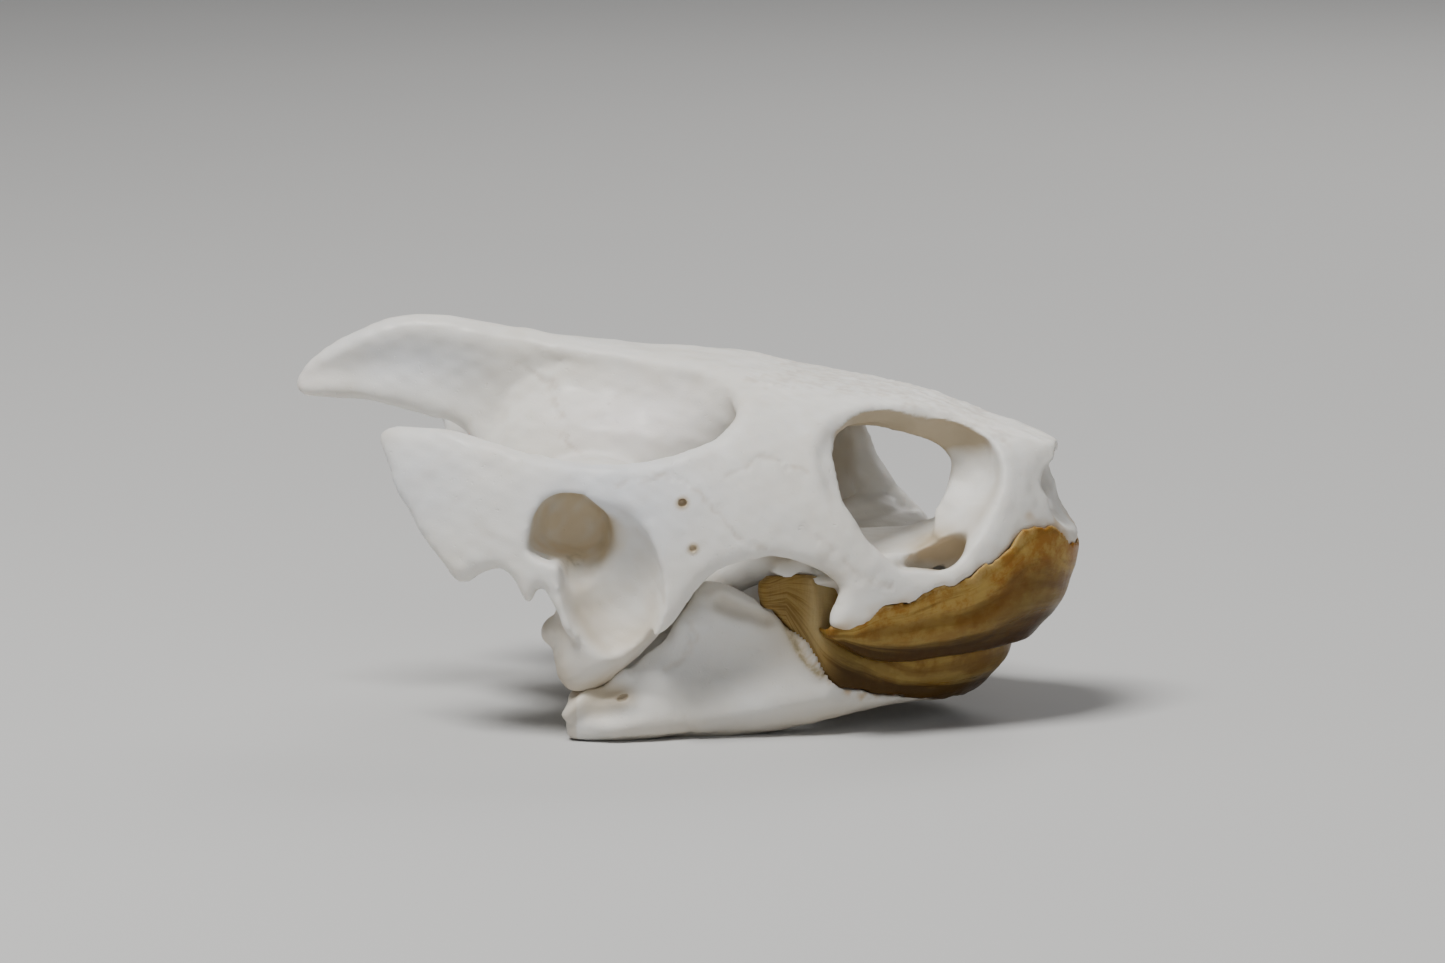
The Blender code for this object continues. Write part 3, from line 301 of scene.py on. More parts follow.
def plate(name, loops, surface, thick, edge_radius=1.0):
    """Closed bent plate with rounded rims.

    loops are outlines in the plate's own plane, holes after the first. surface(u, v) gives
    its middle as points and normals, and thick(u, v) half its thickness.
    """
    loops = [walked(loop) for loop in loops]
    low, high = loops[0].min(0), loops[0].max(0)
    columns = np.arange(low[0], high[0], PLATE_STEP)
    rows = np.arange(low[1], high[1], PLATE_STEP * 0.87)
    grid = np.array([(u + 0.5 * PLATE_STEP * (i % 2), v) for i, v in enumerate(rows) for u in columns])
    grid = grid[inside(grid, loops)]
    grid = grid[to_edge(grid, loops) > 0.55 * PLATE_STEP]
    flat = np.vstack(loops + [grid])
    edges = []
    start = 0
    for loop in loops:
        edges += [(start + i, start + (i + 1) % len(loop)) for i in range(len(loop))]
        start += len(loop)
    found = delaunay_2d_cdt([Vector(p) for p in flat], edges, [], 0, 1e-5)
    flat = np.array([tuple(v) for v in found[0]])
    triangles = np.array(found[2])
    triangles = triangles[inside(flat[triangles].mean(1), loops)]
    used = np.unique(triangles)
    renumber = np.full(len(flat), -1)
    renumber[used] = np.arange(len(used))
    flat, triangles = flat[used], renumber[triangles]
    share = unit(to_edge(flat, loops) / edge_radius)
    half = thick(flat[:, 0], flat[:, 1]) * (0.35 + 0.65 * np.sqrt(1 - (1 - share) ** 2))
    middle, normal = surface(flat[:, 0], flat[:, 1])
    count = len(flat)
    points = np.vstack([middle + normal * half[:, None], middle - normal * half[:, None]])
    ends = np.vstack([triangles[:, [0, 1]], triangles[:, [1, 2]], triangles[:, [2, 0]]])
    seen = {(int(a), int(b)) for a, b in ends}
    rims = [(a, b) for a, b in seen if (b, a) not in seen]
    faces = [list(t) for t in triangles] + [list(t[::-1] + count) for t in triangles]
    faces += [[b, a, a + count, b + count] for a, b in rims]
    return solid(name, points, faces)


def mid_plane(u, v):
    """The skull's mid-plane as the middle of a plate, and its normals."""
    return np.stack([u, 0 * u, v], 1), np.tile((0.0, 1.0, 0.0), (len(u), 1))


def evenly(half):
    """The same half thickness everywhere in a plate."""
    return lambda u, v: np.full(len(u), half)


def across(x, loop):
    """Ring of (y, z) points set across the skull at x."""
    return np.column_stack([np.full(len(loop), x), loop])


def beside(y, loop):
    """Ring of (x, z) points set parallel to the mid-plane at y."""
    return np.column_stack([loop[:, 0], np.full(len(loop), y), loop[:, 1]])


def bent(place, u, v, inset):
    """Middle and normals of a plate whose outer face follows place(u, v), inset by inset."""
    step = 0.05
    here = place(u, v)
    over = place(u + step, v) - here
    up = place(u, v + step) - here
    normal = np.cross(over, up)
    normal /= np.linalg.norm(normal, axis=1)[:, None]
    outward = np.sign((normal * (here - np.array((0.0, 0.0, 12.0)))).sum(1))
    normal *= outward[:, None]
    return here - normal * inset, normal


def bake(obj):
    """Applies an object's modifiers."""
    bpy.context.view_layer.update()
    graph = bpy.context.evaluated_depsgraph_get()
    mesh = bpy.data.meshes.new_from_object(obj.evaluated_get(graph))
    obj.modifiers.clear()
    obj.data = mesh


def join(name, pieces):
    """One mesh object that holds every piece's faces."""
    whole = bmesh.new()
    for piece in pieces:
        whole.from_mesh(piece.data)
        bpy.data.objects.remove(piece)
    mesh = bpy.data.meshes.new(name)
    whole.to_mesh(mesh)
    whole.free()
    return placed(name, mesh)


def carve(obj, cutter):
    """Takes one closed mesh out of another and removes it."""
    modifier = obj.modifiers.new("carve", "BOOLEAN")
    modifier.operation = "DIFFERENCE"
    modifier.object = cutter
    modifier.solver = "MANIFOLD"
    bake(obj)
    bpy.data.objects.remove(cutter)


def melt(obj, voxel, passes):
    """Turns the fused pieces into one even skin and softens the joins between them."""
    remesh = obj.modifiers.new("even skin", "REMESH")
    remesh.mode = "VOXEL"
    remesh.voxel_size = voxel * MM
    smooth = obj.modifiers.new("smooth", "SMOOTH")
    smooth.factor = 0.5
    smooth.iterations = passes
    bake(obj)


def keep_largest(obj):
    """Drops every loose scrap and sealed hollow, so that one closed surface is left."""
    work = bmesh.new()
    work.from_mesh(obj.data)
    work.verts.ensure_lookup_table()
    label = [-1] * len(work.verts)
    sizes = []
    for seed in work.verts:
        if label[seed.index] >= 0:
            continue
        label[seed.index] = len(sizes)
        waiting, size = [seed], 0
        while waiting:
            vert = waiting.pop()
            size += 1
            for edge in vert.link_edges:
                other = edge.other_vert(vert)
                if label[other.index] < 0:
                    label[other.index] = len(sizes)
                    waiting.append(other)
        sizes.append(size)
    largest = sizes.index(max(sizes))
    scraps = [v for v in work.verts if label[v.index] != largest]
    bmesh.ops.delete(work, geom=scraps, context="VERTS")
    work.to_mesh(obj.data)
    work.free()


# Cranium.

# Outline of the bony shell's left half, from the front of the roof down round the cheek, back to
# the squamosal, forwards along the temporal arch and back again beside the mid-line.
SHELL_OUTLINE = (
    top(23.2, 0.0), top(22.9, 1.8), side(22.4, 16.0), side(22.0, 14.8), side(22.5, 13.2),
    side(22.9, 11.0), side(22.8, 8.6), side(21.6, 7.4), side(17.0, 7.2), side(12.2, 6.7),
    side(10.5, 6.8), side(10.3, 8.0), side(10.9, 9.3), side(10.2, 10.2), side(9.0, 10.9),
    side(7.0, 11.5), side(5.0, 11.2), side(3.4, 10.6), side(2.2, 9.3), side(0.8, 7.4),
    side(-1.2, 6.4), side(-5.2, 6.6), side(-6.3, 8.4), side(-7.2, 9.7), side(-8.0, 8.5),
    side(-8.9, 10.0), side(-9.8, 10.6), side(-11.3, 10.1), side(-12.3, 9.5), side(-13.4, 10.6),
    side(-15.0, 12.5), side(-16.7, 15.0), side(-17.3, 16.7), side(-17.9, 18.0), side(-17.2, 18.6),
    side(-15.2, 18.9), side(-12.3, 18.75), side(-9.4, 18.0), side(-6.0, 17.4), side(-2.7, 17.2),
    side(0.6, 17.7), side(3.0, 18.6), side(4.2, 19.8), top(3.9, 7.6), top(2.6, 5.4),
    top(-0.5, 3.4), top(-4.5, 2.2), top(-8.5, 1.5), top(-12.5, 1.1), top(-15.0, 0.8),
)

# Rim of the left eye socket.
ORBIT_RIM = (
    side(9.5, 17.4), side(9.9, 18.7), top(11.8, 5.9), top(14.0, 4.3), top(16.4, 3.2),
    top(18.0, 3.4), side(18.9, 16.9), side(18.9, 15.2), side(18.7, 13.2), side(18.2, 11.7),
    side(17.4, 10.6), side(16.3, 10.15), side(15.2, 10.3), side(14.0, 10.9), side(12.3, 12.5),
    side(11.0, 14.0), side(10.0, 15.6),
)

# Clear way between the two sockets seen from the side, as (x, z).
EYE_WINDOW = (
    (7.8, 17.3), (9.4, 17.9), (11.8, 18.2), (13.9, 17.8), (15.5, 16.95), (16.45, 15.8),
    (16.25, 14.4), (15.8, 12.9), (13.6, 12.0), (10.0, 11.6), (7.8, 12.2),
)

# Opening in the front of the socket's floor, as (x, z).
PALATE_FORAMEN = (
    (13.9, 10.4), (15.0, 11.4), (16.2, 12.1), (17.3, 12.45), (17.8, 12.1), (17.7, 11.2),
    (17.2, 10.5), (16.4, 10.1), (15.2, 10.15),
)

# The crest behind the braincase, from the side, as (x, z).
CREST_OUTLINE = (
    (-6.0, 21.6), (-10.0, 23.1), (-14.0, 23.95), (-17.4, 24.05), (-20.2, 23.15), (-22.8, 21.7),
    (-24.4, 19.9), (-23.8, 19.0), (-22.0, 18.9), (-19.8, 18.7), (-18.1, 18.4), (-16.4, 17.9),
    (-14.6, 17.5), (-13.4, 16.4), (-12.2, 14.6), (-6.0, 15.0),
)

# Height of the palate's vault along the mid-line and its fall to the sides.
PALATE_LINE = (
    (-12.5, 9.8), (-4, 9.6), (2, 10.0), (7, 10.3), (10, 10.4), (12, 10.4), (15.5, 10.9), (20, 11.6),
)
PALATE_FALL = 0.034

# The quadrate from the top down: z, x, y, half length, half breadth.
QUADRATE = (
    (16.2, -3.0, 10.6, 2.6, 1.6), (15.0, -3.0, 10.9, 4.4, 2.8), (12.5, -2.8, 11.2, 4.7, 3.0),
    (10.0, -2.6, 11.2, 4.2, 3.0), (8.0, -2.9, 11.1, 3.6, 2.9), (6.2, -3.6, 11.0, 3.2, 2.7),
    (4.9, -4.2, 11.0, 2.5, 2.5), (3.8, -4.7, 11.0, 1.8, 2.1), (3.0, -5.0, 11.0, 0.9, 1.4),
)


class JawLine:
    """The U of a jaw seen from above, measured along its outer side from the middle of the snout.

    Directions into the jaw turn evenly along the U, so that thick walls never cross.
    """

    def __init__(self, front_x, middle_x, breadth, fullness, roundness, end_x):
        end = math.acos(((end_x - middle_x) / (front_x - middle_x)) ** (fullness / 2))
        angle = np.linspace(-end, end, 801)
        x = middle_x + (front_x - middle_x) * np.cos(angle) ** (2 / fullness)
        y = breadth * np.sign(angle) * np.abs(np.sin(angle)) ** (2 / roundness)
        length = np.concatenate([[0], np.cumsum(np.hypot(np.diff(x), np.diff(y)))])
        self.reach = length[-1] / 2
        self.along = length - self.reach
        self.x, self.y = x, y
        self.shape = (front_x, middle_x, breadth, fullness, roundness)
        self.turn = math.atan2(y[-1] - y[-9], x[-1] - x[-9]) - math.pi / 2

    def at(self, s):
        """Outer points and inward directions at distances s along the U."""
        s = np.asarray(s, float)
        places = np.stack([np.interp(s, self.along, self.x), np.interp(s, self.along, self.y)], 1)
        heading = self.turn * s / self.reach
        return places, -np.stack([np.cos(heading), np.sin(heading)], 1)

    def depth_to(self, other, s):
        """Depth at which another jaw line is met, going inwards from this one at s."""
        place, inward = self.at([s])
        depth = np.linspace(0, 9, 181)
        x, y = (place + depth[:, None] * inward).T
        front_x, middle_x, breadth, fullness, roundness = other.shape
        along = np.clip((x - middle_x) / (front_x - middle_x), 0, None)
        level = along**fullness + np.abs(y / breadth) ** roundness
        return depth[np.argmax(level < 1)]

    def distance(self, x):
        """How far along the left side the U reaches this x."""
        half = len(self.x) // 2
        return float(np.interp(-x, -self.x[half:], self.along[half:]))

    def along_at(self, x, y):
        """Distance along the U of a point beside it."""
        half = len(self.x) // 2
        return np.where(y > 0, -1, 1) * np.interp(x, self.x[:half], self.along[:half])

    def rings(self, reach, count, cut):
        """Rings across the U as far as reach on both sides; cut(s, x) gives each one's section."""
        rings = []
        for s in np.linspace(-reach, reach, count):
            place, inward = self.at([s])
            cross = np.asarray(cut(s, place[0, 0]), float)
            rings.append(np.column_stack([place + cross[:, :1] * inward, cross[:, 1]]))
        return rings


upper_line = JawLine(SNOUT_X, WIDEST_X, HALF_WIDTH, ROSTRUM_FULLNESS, ROSTRUM_ROUNDNESS, 7.4)
lower_line = JawLine(JAW_FRONT_X, JAW_MIDDLE_X, JAW_HALF_WIDTH, 1.8, 2.0, JAW_REAR_X)


def face_shell():
    """Roof, brows, cheeks, temporal arches and squamosals as one plate bent over the skull."""
    left = np.array(SHELL_OUTLINE)
    outline = rounded(np.vstack([left, (left * (1, -1))[1:][::-1]]))
    rim = rounded(ORBIT_RIM)
    return plate(
        "face shell", [outline, rim, rim * (1, -1)],
        lambda u, w: bent(shell, u, w, BONE / 2), evenly(BONE / 2),
    )


def crest():
    """Supraoccipital blade: thin waist, thicker along its lower edge."""
    lower_edge = profile(((-25, 19.4), (-20, 18.8), (-16, 18.0), (-13, 15.2), (-6, 14.5)))
    half = profile(((-25, 0.8), (-21, 1.2), (-14, 1.3), (-10, 1.5), (-6, 1.2)))

    def thick(u, v):
        above = unit((v - lower_edge(u)) / (roof_z(u) - lower_edge(u)))
        return half(u) * (1 - 0.42 * np.sin(math.pi * above) ** 2)

    return plate("crest", [rounded(CREST_OUTLINE)], mid_plane, thick, edge_radius=1.2)


def section(half_widths, heights, x):
    """Ring across the skull at x through half widths at the given heights, top to bottom."""
    right = [(-w, h) for w, h in zip(half_widths, heights)]
    left = [(w, h) for w, h in zip(half_widths, heights)][::-1]
    return across(x, walked(rounded(right + left, 6), RING_POINTS))


def braincase():
    """Parietal walls and the base of the skull, solid."""
    roof = profile(((-13, 15.6), (-11, 20.0), (-8, 22.0), (-3, 21.6), (2, 21.1), (7, 20.1)))
    neck = profile(((-13, 0.9), (-8, 1.5), (-4.5, 2.2), (-0.5, 3.4), (2.6, 5.2), (4.5, 6.2), (7, 5.2)))
    wall = profile(((-13, 2.4), (-10, 3.6), (-6, 4.7), (-1, 5.2), (2, 5.6), (4.5, 5.4), (7, 4.4)))
    flank = profile(((-13, 3.6), (-9, 5.0), (-4, 4.8), (2, 3.2), (7, 2.4)))
    base = profile(((-13, 9.4), (-8, 8.8), (0, 8.9), (7, 10.4)))
    rings = []
    for x in np.linspace(-13.0, 7.0, 28):
        heights = roof(x) - np.array((0, 0.05, 0.14, 0.33, 0.62, 0.88, 1)) * (roof(x) - base(x))
        widths = (0.6 * neck(x), 1.02 * neck(x), 1.12 * neck(x), 0.97 * wall(x),
                  0.5 * (wall(x) + flank(x)), 0.8 * flank(x), 0.5 * flank(x))
        rings.append(section(widths, heights, x))
    return loft("braincase", rings)


def brow_keel():
    """Thick middle of the roof between the eye sockets, with the ridges that hang from it."""
    under = profile(((3, 17.6), (8, 17.8), (11.5, 17.9), (13.6, 17.4), (15.6, 16.7), (19, 15.5)))
    rings = []
    for x in np.linspace(3.0, 19.0, 18):
        high, low = float(roof_z(x)) - 0.6, float(under(x))
        heights = (high, high - 0.45 * (high - low), low + 0.25, low)
        rings.append(section((2.6, 3.3, 2.9, 2.2), heights, x))
    return loft("brow keel", rings)


def snout():
    """Solid front of the face, which the nose and the eye sockets are hollowed from."""
    rings = []
    for x in np.linspace(15.6, SNOUT_X - 0.1, 20):
        ring = shell(x, np.linspace(-15.0, 15.0, 33))
        ring[:, 1] *= 0.97 - 0.35 * max(0.0, (18.0 - x) / 4.0) ** 2
        ring[:, 2] = np.clip(ring[:, 2] - 0.25, 7.5, None)
        rings.append(ring)
    return loft("snout", rings)


def tooth_shelf():
    """Bone of the upper jaw's edge and palate margin, inside the horn."""
    ring = oval((3.1, 9.3), (2.9, 1.7), -10.0, 2.6, 20)
    return loft("tooth shelf", upper_line.rings(upper_line.distance(12.0), 41, lambda s, x: ring))


def palate():
    """Vomer, palatines and pterygoids, arched between the jaw margins."""
    left = [
        (20.5, 0.0), (19.5, 4.2), (16.5, 7.6), (13.2, 8.6), (10.6, 7.0), (8.6, 6.2), (6.2, 5.9),
        (3.8, 5.3), (1.8, 4.6), (0.0, 5.2), (-1.6, 7.6), (-2.6, 9.8), (-5.0, 9.9), (-6.2, 7.6),
        (-8.0, 5.2), (-10.5, 3.9), (-12.2, 2.4),
    ]
    right = [(x, -y) for x, y in left[1:]][::-1]
    arch = profile(PALATE_LINE)

    def place(u, v):
        return np.stack([u, v, arch(u) - PALATE_FALL * v**2], 1)

    def surface(u, v):
        middle, normal = bent(place, u, v, 0.0)
        return middle, normal * np.sign(normal[:, 2:3])

    return plate("palate", [rounded(left + right)], surface, evenly(0.75), edge_radius=0.7)


def quadrate(sign, grow=0.0, highest=99.0):
    """Block that carries the ear drum's basin and ends below in the jaw joint."""
    rings = []
    for z, x, y, long, broad in QUADRATE:
        if z <= highest:
            ring = oval((x, y), (long + grow, broad + grow), 0.0, 2.0, 24)
            rings.append(np.column_stack([ring * (1, sign), np.full(len(ring), z - grow)]))
    return loft("quadrate", rings)


def ear_region(sign):
    """Inner ear housing, the strut behind it and the squamosal's filled cone."""
    s = sign
    return [
        blob("otic", (-5.2, s * 6.6, 12.9), (4.6, 4.8, 3.6)),
        blob("trochlear knob", (-1.3, s * 7.4, 13.9), (1.9, 2.6, 1.8)),
        limb("strut", ((-7.6, s * 4.0, 12.4, 2.6, 2.2), (-9.4, s * 7.2, 13.2, 2.5, 2.2),
                       (-11.4, s * 10.2, 13.8, 2.4, 2.6))),
        blob("squamosal", (-12.2, s * 10.3, 14.8), (4.7, 1.6, 3.3), (0, 18, s * 17)),
        blob("antrum wall", (-8.0, s * 10.6, 14.0), (2.8, 2.8, 3.2)),
        blob("joint knob", (-6.4, s * 10.9, 6.5), (1.1, 1.5, 1.0)),
        limb("outer process", ((0.6, s * 5.9, 7.9, 0.9, 1.0), (2.6, s * 6.3, 8.9, 1.0, 1.2),
                               (4.7, s * 6.6, 10.0, 1.0, 1.3), (6.8, s * 7.2, 10.6, 1.1, 1.3),
                               (8.3, s * 7.5, 10.1, 0.9, 1.0))),
        blob("front plate of the process", (7.5, s * 8.0, 9.9), (1.5, 0.9, 1.1), (0, 25, -s * 20)),
        limb("palate bridge", ((7.4, s * 7.2, 11.0, 1.4, 0.7), (9.8, s * 8.4, 11.3, 1.3, 0.7),
                               (12.0, s * 9.0, 11.0, 1.3, 0.8))),
        limb("back of the socket", ((8.7, s * 7.3, 18.3, 1.1, 1.1), (9.2, s * 9.0, 15.6, 1.2, 1.1),
                                    (10.7, s * 9.9, 12.2, 1.2, 1.3))),
    ]


def socket_floor():
    """Floor of both eye sockets, falling to each side from the vomer's ridge."""
    ridge = profile(((8.6, 10.3), (11.3, 10.75), (13.5, 11.4), (15.4, 12.1), (18.5, 13.4)))
    foot = profile(((8.6, 9.9), (12.0, 9.9), (16.0, 10.0), (18.5, 10.4)))
    rings = []
    for x in np.linspace(8.6, 18.5, 20):
        high, low = float(ridge(x)), float(foot(x))
        wide = min(9.0, 0.97 * float(half_width(x)) - 0.9)
        left = [(0.0, high), (2.2, high - 0.4), (4.7, high - 0.85),
                (0.93 * wide, low - 0.1), (wide, low - 0.5), (0.9 * wide, low - 0.9), (4.0, low - 0.8)]
        loop = rounded(left + [(0.0, low - 0.6)] + [(-y, z) for y, z in left[:0:-1]], 4)
        rings.append(across(x, loop))
    return loft("socket floor", rings)


def eye_socket(sign):
    """Hollow that gives the socket its smooth front wall and passes under the brow."""
    s = sign
    return [
        blob("socket", (15.3, s * 8.6, 15.1), (4.9, 7.2, 3.9), (0, 20, -s * 30)),
        blob("socket rear", (10.9, s * 5.4, 14.9), (4.1, 3.8, 2.9), (0, 12, 0)),
        blob("under the brow", (14.2, s * 7.5, 16.7), (4.4, 4.7, 3.3), (0, 14, 0)),
        blob("front of the brow", (16.4, s * 5.9, 16.1), (3.6, 4.1, 3.2), (0, 24, 0)),
        blob("low front of the socket", (15.8, s * 8.8, 12.6), (3.0, 4.0, 2.35)),
        blob("recess behind the socket", (7.5, s * 8.1, 14.3), (1.85, 2.4, 3.3)),
        palate_foramen(sign),
        limb("way to the fossa", ((10.5, s * 6.4, 15.2, 1.5, 2.4), (7.4, s * 7.6, 15.0, 1.9, 2.9),
                                  (4.6, s * 8.8, 15.0, 2.2, 3.2), (2.0, s * 9.2, 15.4, 2.2, 3.0),
                                  (-0.8, s * 9.6, 16.6, 1.4, 2.0))),
    ]


def palate_foramen(sign):
    """Drop-shaped opening low in the front of the socket, leading inwards and down."""
    outline = rounded(PALATE_FORAMEN)
    rings = []
    for y, drop, size in ((11.0, -0.5, 1.1), (8.0, 0.0, 1.0), (5.2, 0.4, 1.0), (4.0, 1.2, 0.9),
                          (3.0, 2.1, 0.6)):
        flat = outline.mean(0) + (outline - outline.mean(0)) * size
        rings.append(beside(sign * y, flat - (0, drop)))
    return loft("palate foramen", rings)


def ear_basin(sign):
    """Funnel of the ear drum, and above its floor's rear the arched way into the squamosal."""
    s = sign
    angle = np.linspace(0, math.pi, 17)
    arch = np.column_stack([
        2.45 * np.sign(np.cos(angle)) * np.abs(np.cos(angle)) ** 0.8, 3.5 * np.sin(angle) ** 0.9
    ])
    floor = [(-1.9, -0.4), (-0.8, -0.7), (0.8, -0.9), (2.0, -0.5)]
    rings = []
    for y, x, size in ((16.0, -5.45, 1.0), (13.2, -5.5, 1.0), (11.4, -5.6, 1.04), (9.6, -5.7, 0.95),
                       (8.4, -5.8, 0.7)):
        rings.append(beside(s * y, np.vstack([arch, floor]) * size + (x, 11.8)))
    return [
        blob("basin", (-2.7, s * 15.3, 9.8), (3.3, 4.2, 5.2), (0, -6, 0)),
        limb("slope into the basin", ((-5.0, s * 9.2, 12.6, 1.1, 1.3), (-4.8, s * 11.0, 12.0, 1.3, 1.6),
                                      (-4.3, s * 13.0, 10.9, 1.7, 2.0), (-3.6, s * 15.0, 9.6, 2.2, 2.4))),
        loft("way into the squamosal", rings),
    ]


def eye_window():
    """Opening between the two eye sockets under the roof, cut straight across the skull."""
    return plate("eye window", [rounded(EYE_WINDOW)], mid_plane, evenly(4.6), edge_radius=0.4)


def mid_hollows():
    """Nose, the braincase's front and rear openings and the inner nostrils."""
    made = [
        eye_window(),
        blob("nose notch", (25.6, 0, 14.9), (3.8, 9.0, 1.9)),
        blob("nose's lower rim", (26.2, 0, 13.6), (3.9, 9.0, 2.4)),
        blob("nose", (24.6, 0, 14.5), (5.4, 2.7, 2.1), (0, 8, 0)),
        blob("braincase front", (7.2, 0, 14.6), (4.2, 1.9, 2.8)),
        blob("foramen magnum", (-13.4, 0, 12.9), (4.4, 1.7, 1.7)),
    ]
    made += [blob("inner nostril", (14.8, s * 1.9, 9.8), (2.3, 1.0, 1.4)) for s in (1, -1)]
    return made


def cranium_pieces():
    """Every piece of bone that the cranium is fused from."""
    pieces = [face_shell(), crest(), braincase(), brow_keel(), snout(), tooth_shelf(), palate(),
              socket_floor(), blob("condyle", (-13.2, 0, 10.4), (1.7, 1.5, 1.3))]
    for sign in (1, -1):
        pieces += [quadrate(sign)] + ear_region(sign)
    return pieces


# Places where the cranium's surface runs softly: middle of the left one, radii and smoothing passes.
SOFT_SPOTS = (
    ((19.4, 6.6, 14.6), (2.9, 3.8, 4.6), 160),
    ((17.2, 4.6, 16.8), (2.4, 3.0, 1.9), 50),
    ((-2.9, 12.5, 12.7), (2.7, 3.4, 3.7), 230),
    ((-6.4, 13.0, 10.6), (1.8, 3.0, 1.5), 40),
    ((-14.5, 10.5, 15.0), (5.5, 3.0, 5.0), 25),
    ((12.0, 5.0, 11.4), (4.0, 3.0, 1.6), 30),
    ((10.9, 6.6, 13.0), (3.4, 4.2, 2.8), 130),
    ((-3.0, 3.0, 20.9), (6.0, 2.6, 2.0), 90),
    ((2.6, 5.6, 20.0), (3.6, 2.8, 2.0), 90),
    ((10.5, 9.5, 11.5), (3.0, 3.0, 1.8), 20),
    ((22.95, 1.2, 16.5), (0.9, 0.9, 0.7), 80),
)


def soften(obj, centre, radii, passes):
    """Smooths a mesh inside a soft ellipsoid and its mirror image."""
    weight = ball(read(obj)[0], centre, radii)
    group = obj.vertex_groups.new(name="soft")
    for step in range(1, 9):
        chosen = np.flatnonzero((weight > (step - 1) / 8) & (weight <= step / 8))
        group.add(chosen.tolist(), step / 8, "REPLACE")
    modifier = obj.modifiers.new("soft", "SMOOTH")
    modifier.vertex_group = group.name
    modifier.factor = 0.5
    modifier.iterations = passes
    bake(obj)
    obj.vertex_groups.clear()


def make_cranium(horns):
    """The cranium's bone, hollowed and with the seats of both horns."""
    skull = join("cranium_bone", cranium_pieces())
    melt(skull, BONE_VOXEL, 0)
    hollows = mid_hollows()
    for sign in (1, -1):
        hollows += eye_socket(sign) + ear_basin(sign)
    hollows += [grown(horn, SEAT_GAP) for horn in horns] + [upper_seat()]
    hollow = join("hollows", hollows)
    melt(hollow, BONE_VOXEL, 0)
    carve(skull, hollow)
    melt(skull, BONE_VOXEL, 12)
    keep_largest(skull)
    for spot in SOFT_SPOTS:
        soften(skull, *spot)
    return skull


# Horn of the upper jaw.

# Upper border and cutting edge of the horn from the rear to the snout, as (x, z).
UPPER_BORDER = (
    (9.6, 6.9), (11.4, 7.0), (13.1, 8.0), (14.8, 8.5), (16.2, 9.1), (18.5, 9.9), (20.3, 11.2),
    (21.6, 12.4), (22.8, 12.3), (24.2, 10.7),
)
UPPER_EDGE = ((9.6, 6.6), (10.8, 6.0), (12.8, 4.9), (15.6, 4.4), (18.1, 4.5), (24.2, 4.7))
# How far the horn turns in under itself, as a share of its reach to the lower jaw, by height.
UPPER_LEAN = ((4.4, 1.0), (5.4, 0.78), (6.0, 0.58), (7.1, 0.34), (8.9, 0.1), (10.6, 0.0), (13, 0.0))
SHELF_Z = 7.0
UPPER_REAR_X = 10.4
# Rear end of the seat that the horn leaves in the bone.
UPPER_SEAT_X = 8.6
# Thickness of the horn's worn upper rim.
RIM = 0.18


def ragged(s):
    """How far the worn upper rim strays from its line at s along the jaw."""
    s = abs(s)
    slow = 0.13 * math.sin(2.1 * s + 0.6) + 0.08 * math.sin(4.7 * s + 2.0)
    return slow + 0.05 * math.sin(9.1 * s + 1.1) + 0.03 * math.sin(15.3 * s)


def upper_wall(s, x):
    """Low and high end of the upper horn's wall at s, its inner depth and its lean by height."""
    low = float(profile(UPPER_EDGE)(x))
    high = max(float(profile(UPPER_BORDER)(x)) + ragged(s), low + 1.0)
    inner = float(upper_line.depth_to(lower_line, s)) - GAP

    def lean(z):
        return float(profile(UPPER_LEAN)(z)) * (inner - 0.5)

    return low, high, inner, lean


def upper_sheath():
    """Horn over the upper jaw: outer wall, cutting edge and shelf under the palate."""
    def cut(s, x):
        low, high, inner, lean = upper_wall(s, x)
        outer = [(lean(z), z) for z in np.linspace(high, low + 0.2, 9)]
        full = ramp((x - 10.6) / 2.6)
        shelf_z = full * SHELF_Z + (1 - full) * (low + 0.25)
        wide = inner + 0.9 + 1.7 * full
        under = [(inner, low), (inner + 0.2, low + 0.2 + 0.3 * full),
                 (inner + 0.7, shelf_z - 0.35 * full), (wide, shelf_z)]
        roof_of_shelf = shelf_z + 0.3 + 0.4 * full
        over = [(wide, roof_of_shelf), (inner + 0.6, roof_of_shelf + 0.2 * full)]
        back = []
        foot = roof_of_shelf + 0.15 + 0.45 * full
        for z in np.linspace(foot, max(high, foot), 8):
            thick = HORN - (HORN - RIM) * max(0.0, 1 - (high - z) / 1.8) ** 1.5
            back.append((thick + lean(z), z))
        return outer + under + over + back

    return rings_to_solid("upper_horn", upper_line.rings(upper_line.distance(UPPER_REAR_X), 241, cut))


def upper_seat():
    """Everything outside the upper horn's inner face and below its upper border."""
    def cut(s, x):
        low, high, _, lean = upper_wall(s, x)
        wall = [(0.1 + lean(z), z) for z in np.linspace(high - 0.05, low + 0.2, 12)]
        return wall + [(-2.0, low), (-2.0, high - 0.05)]

    return rings_to_solid("upper seat", upper_line.rings(upper_line.distance(UPPER_SEAT_X), 241, cut))


def rings_to_solid(name, rings):
    """Loft through rings that may differ in count, each walked at even steps, its ends rounded."""
    even = [walked(ring, SHEATH_RING_POINTS) for ring in rings]
    for first, second in ((0, 1), (-1, -2)):
        beyond = 2 * even[first].mean(0) - even[second].mean(0)
        tip = beyond + 0.45 * (even[first] - even[first].mean(0))
        even = [tip] + even if first == 0 else even + [tip]
    return loft(name, even)


# Lower jaw.

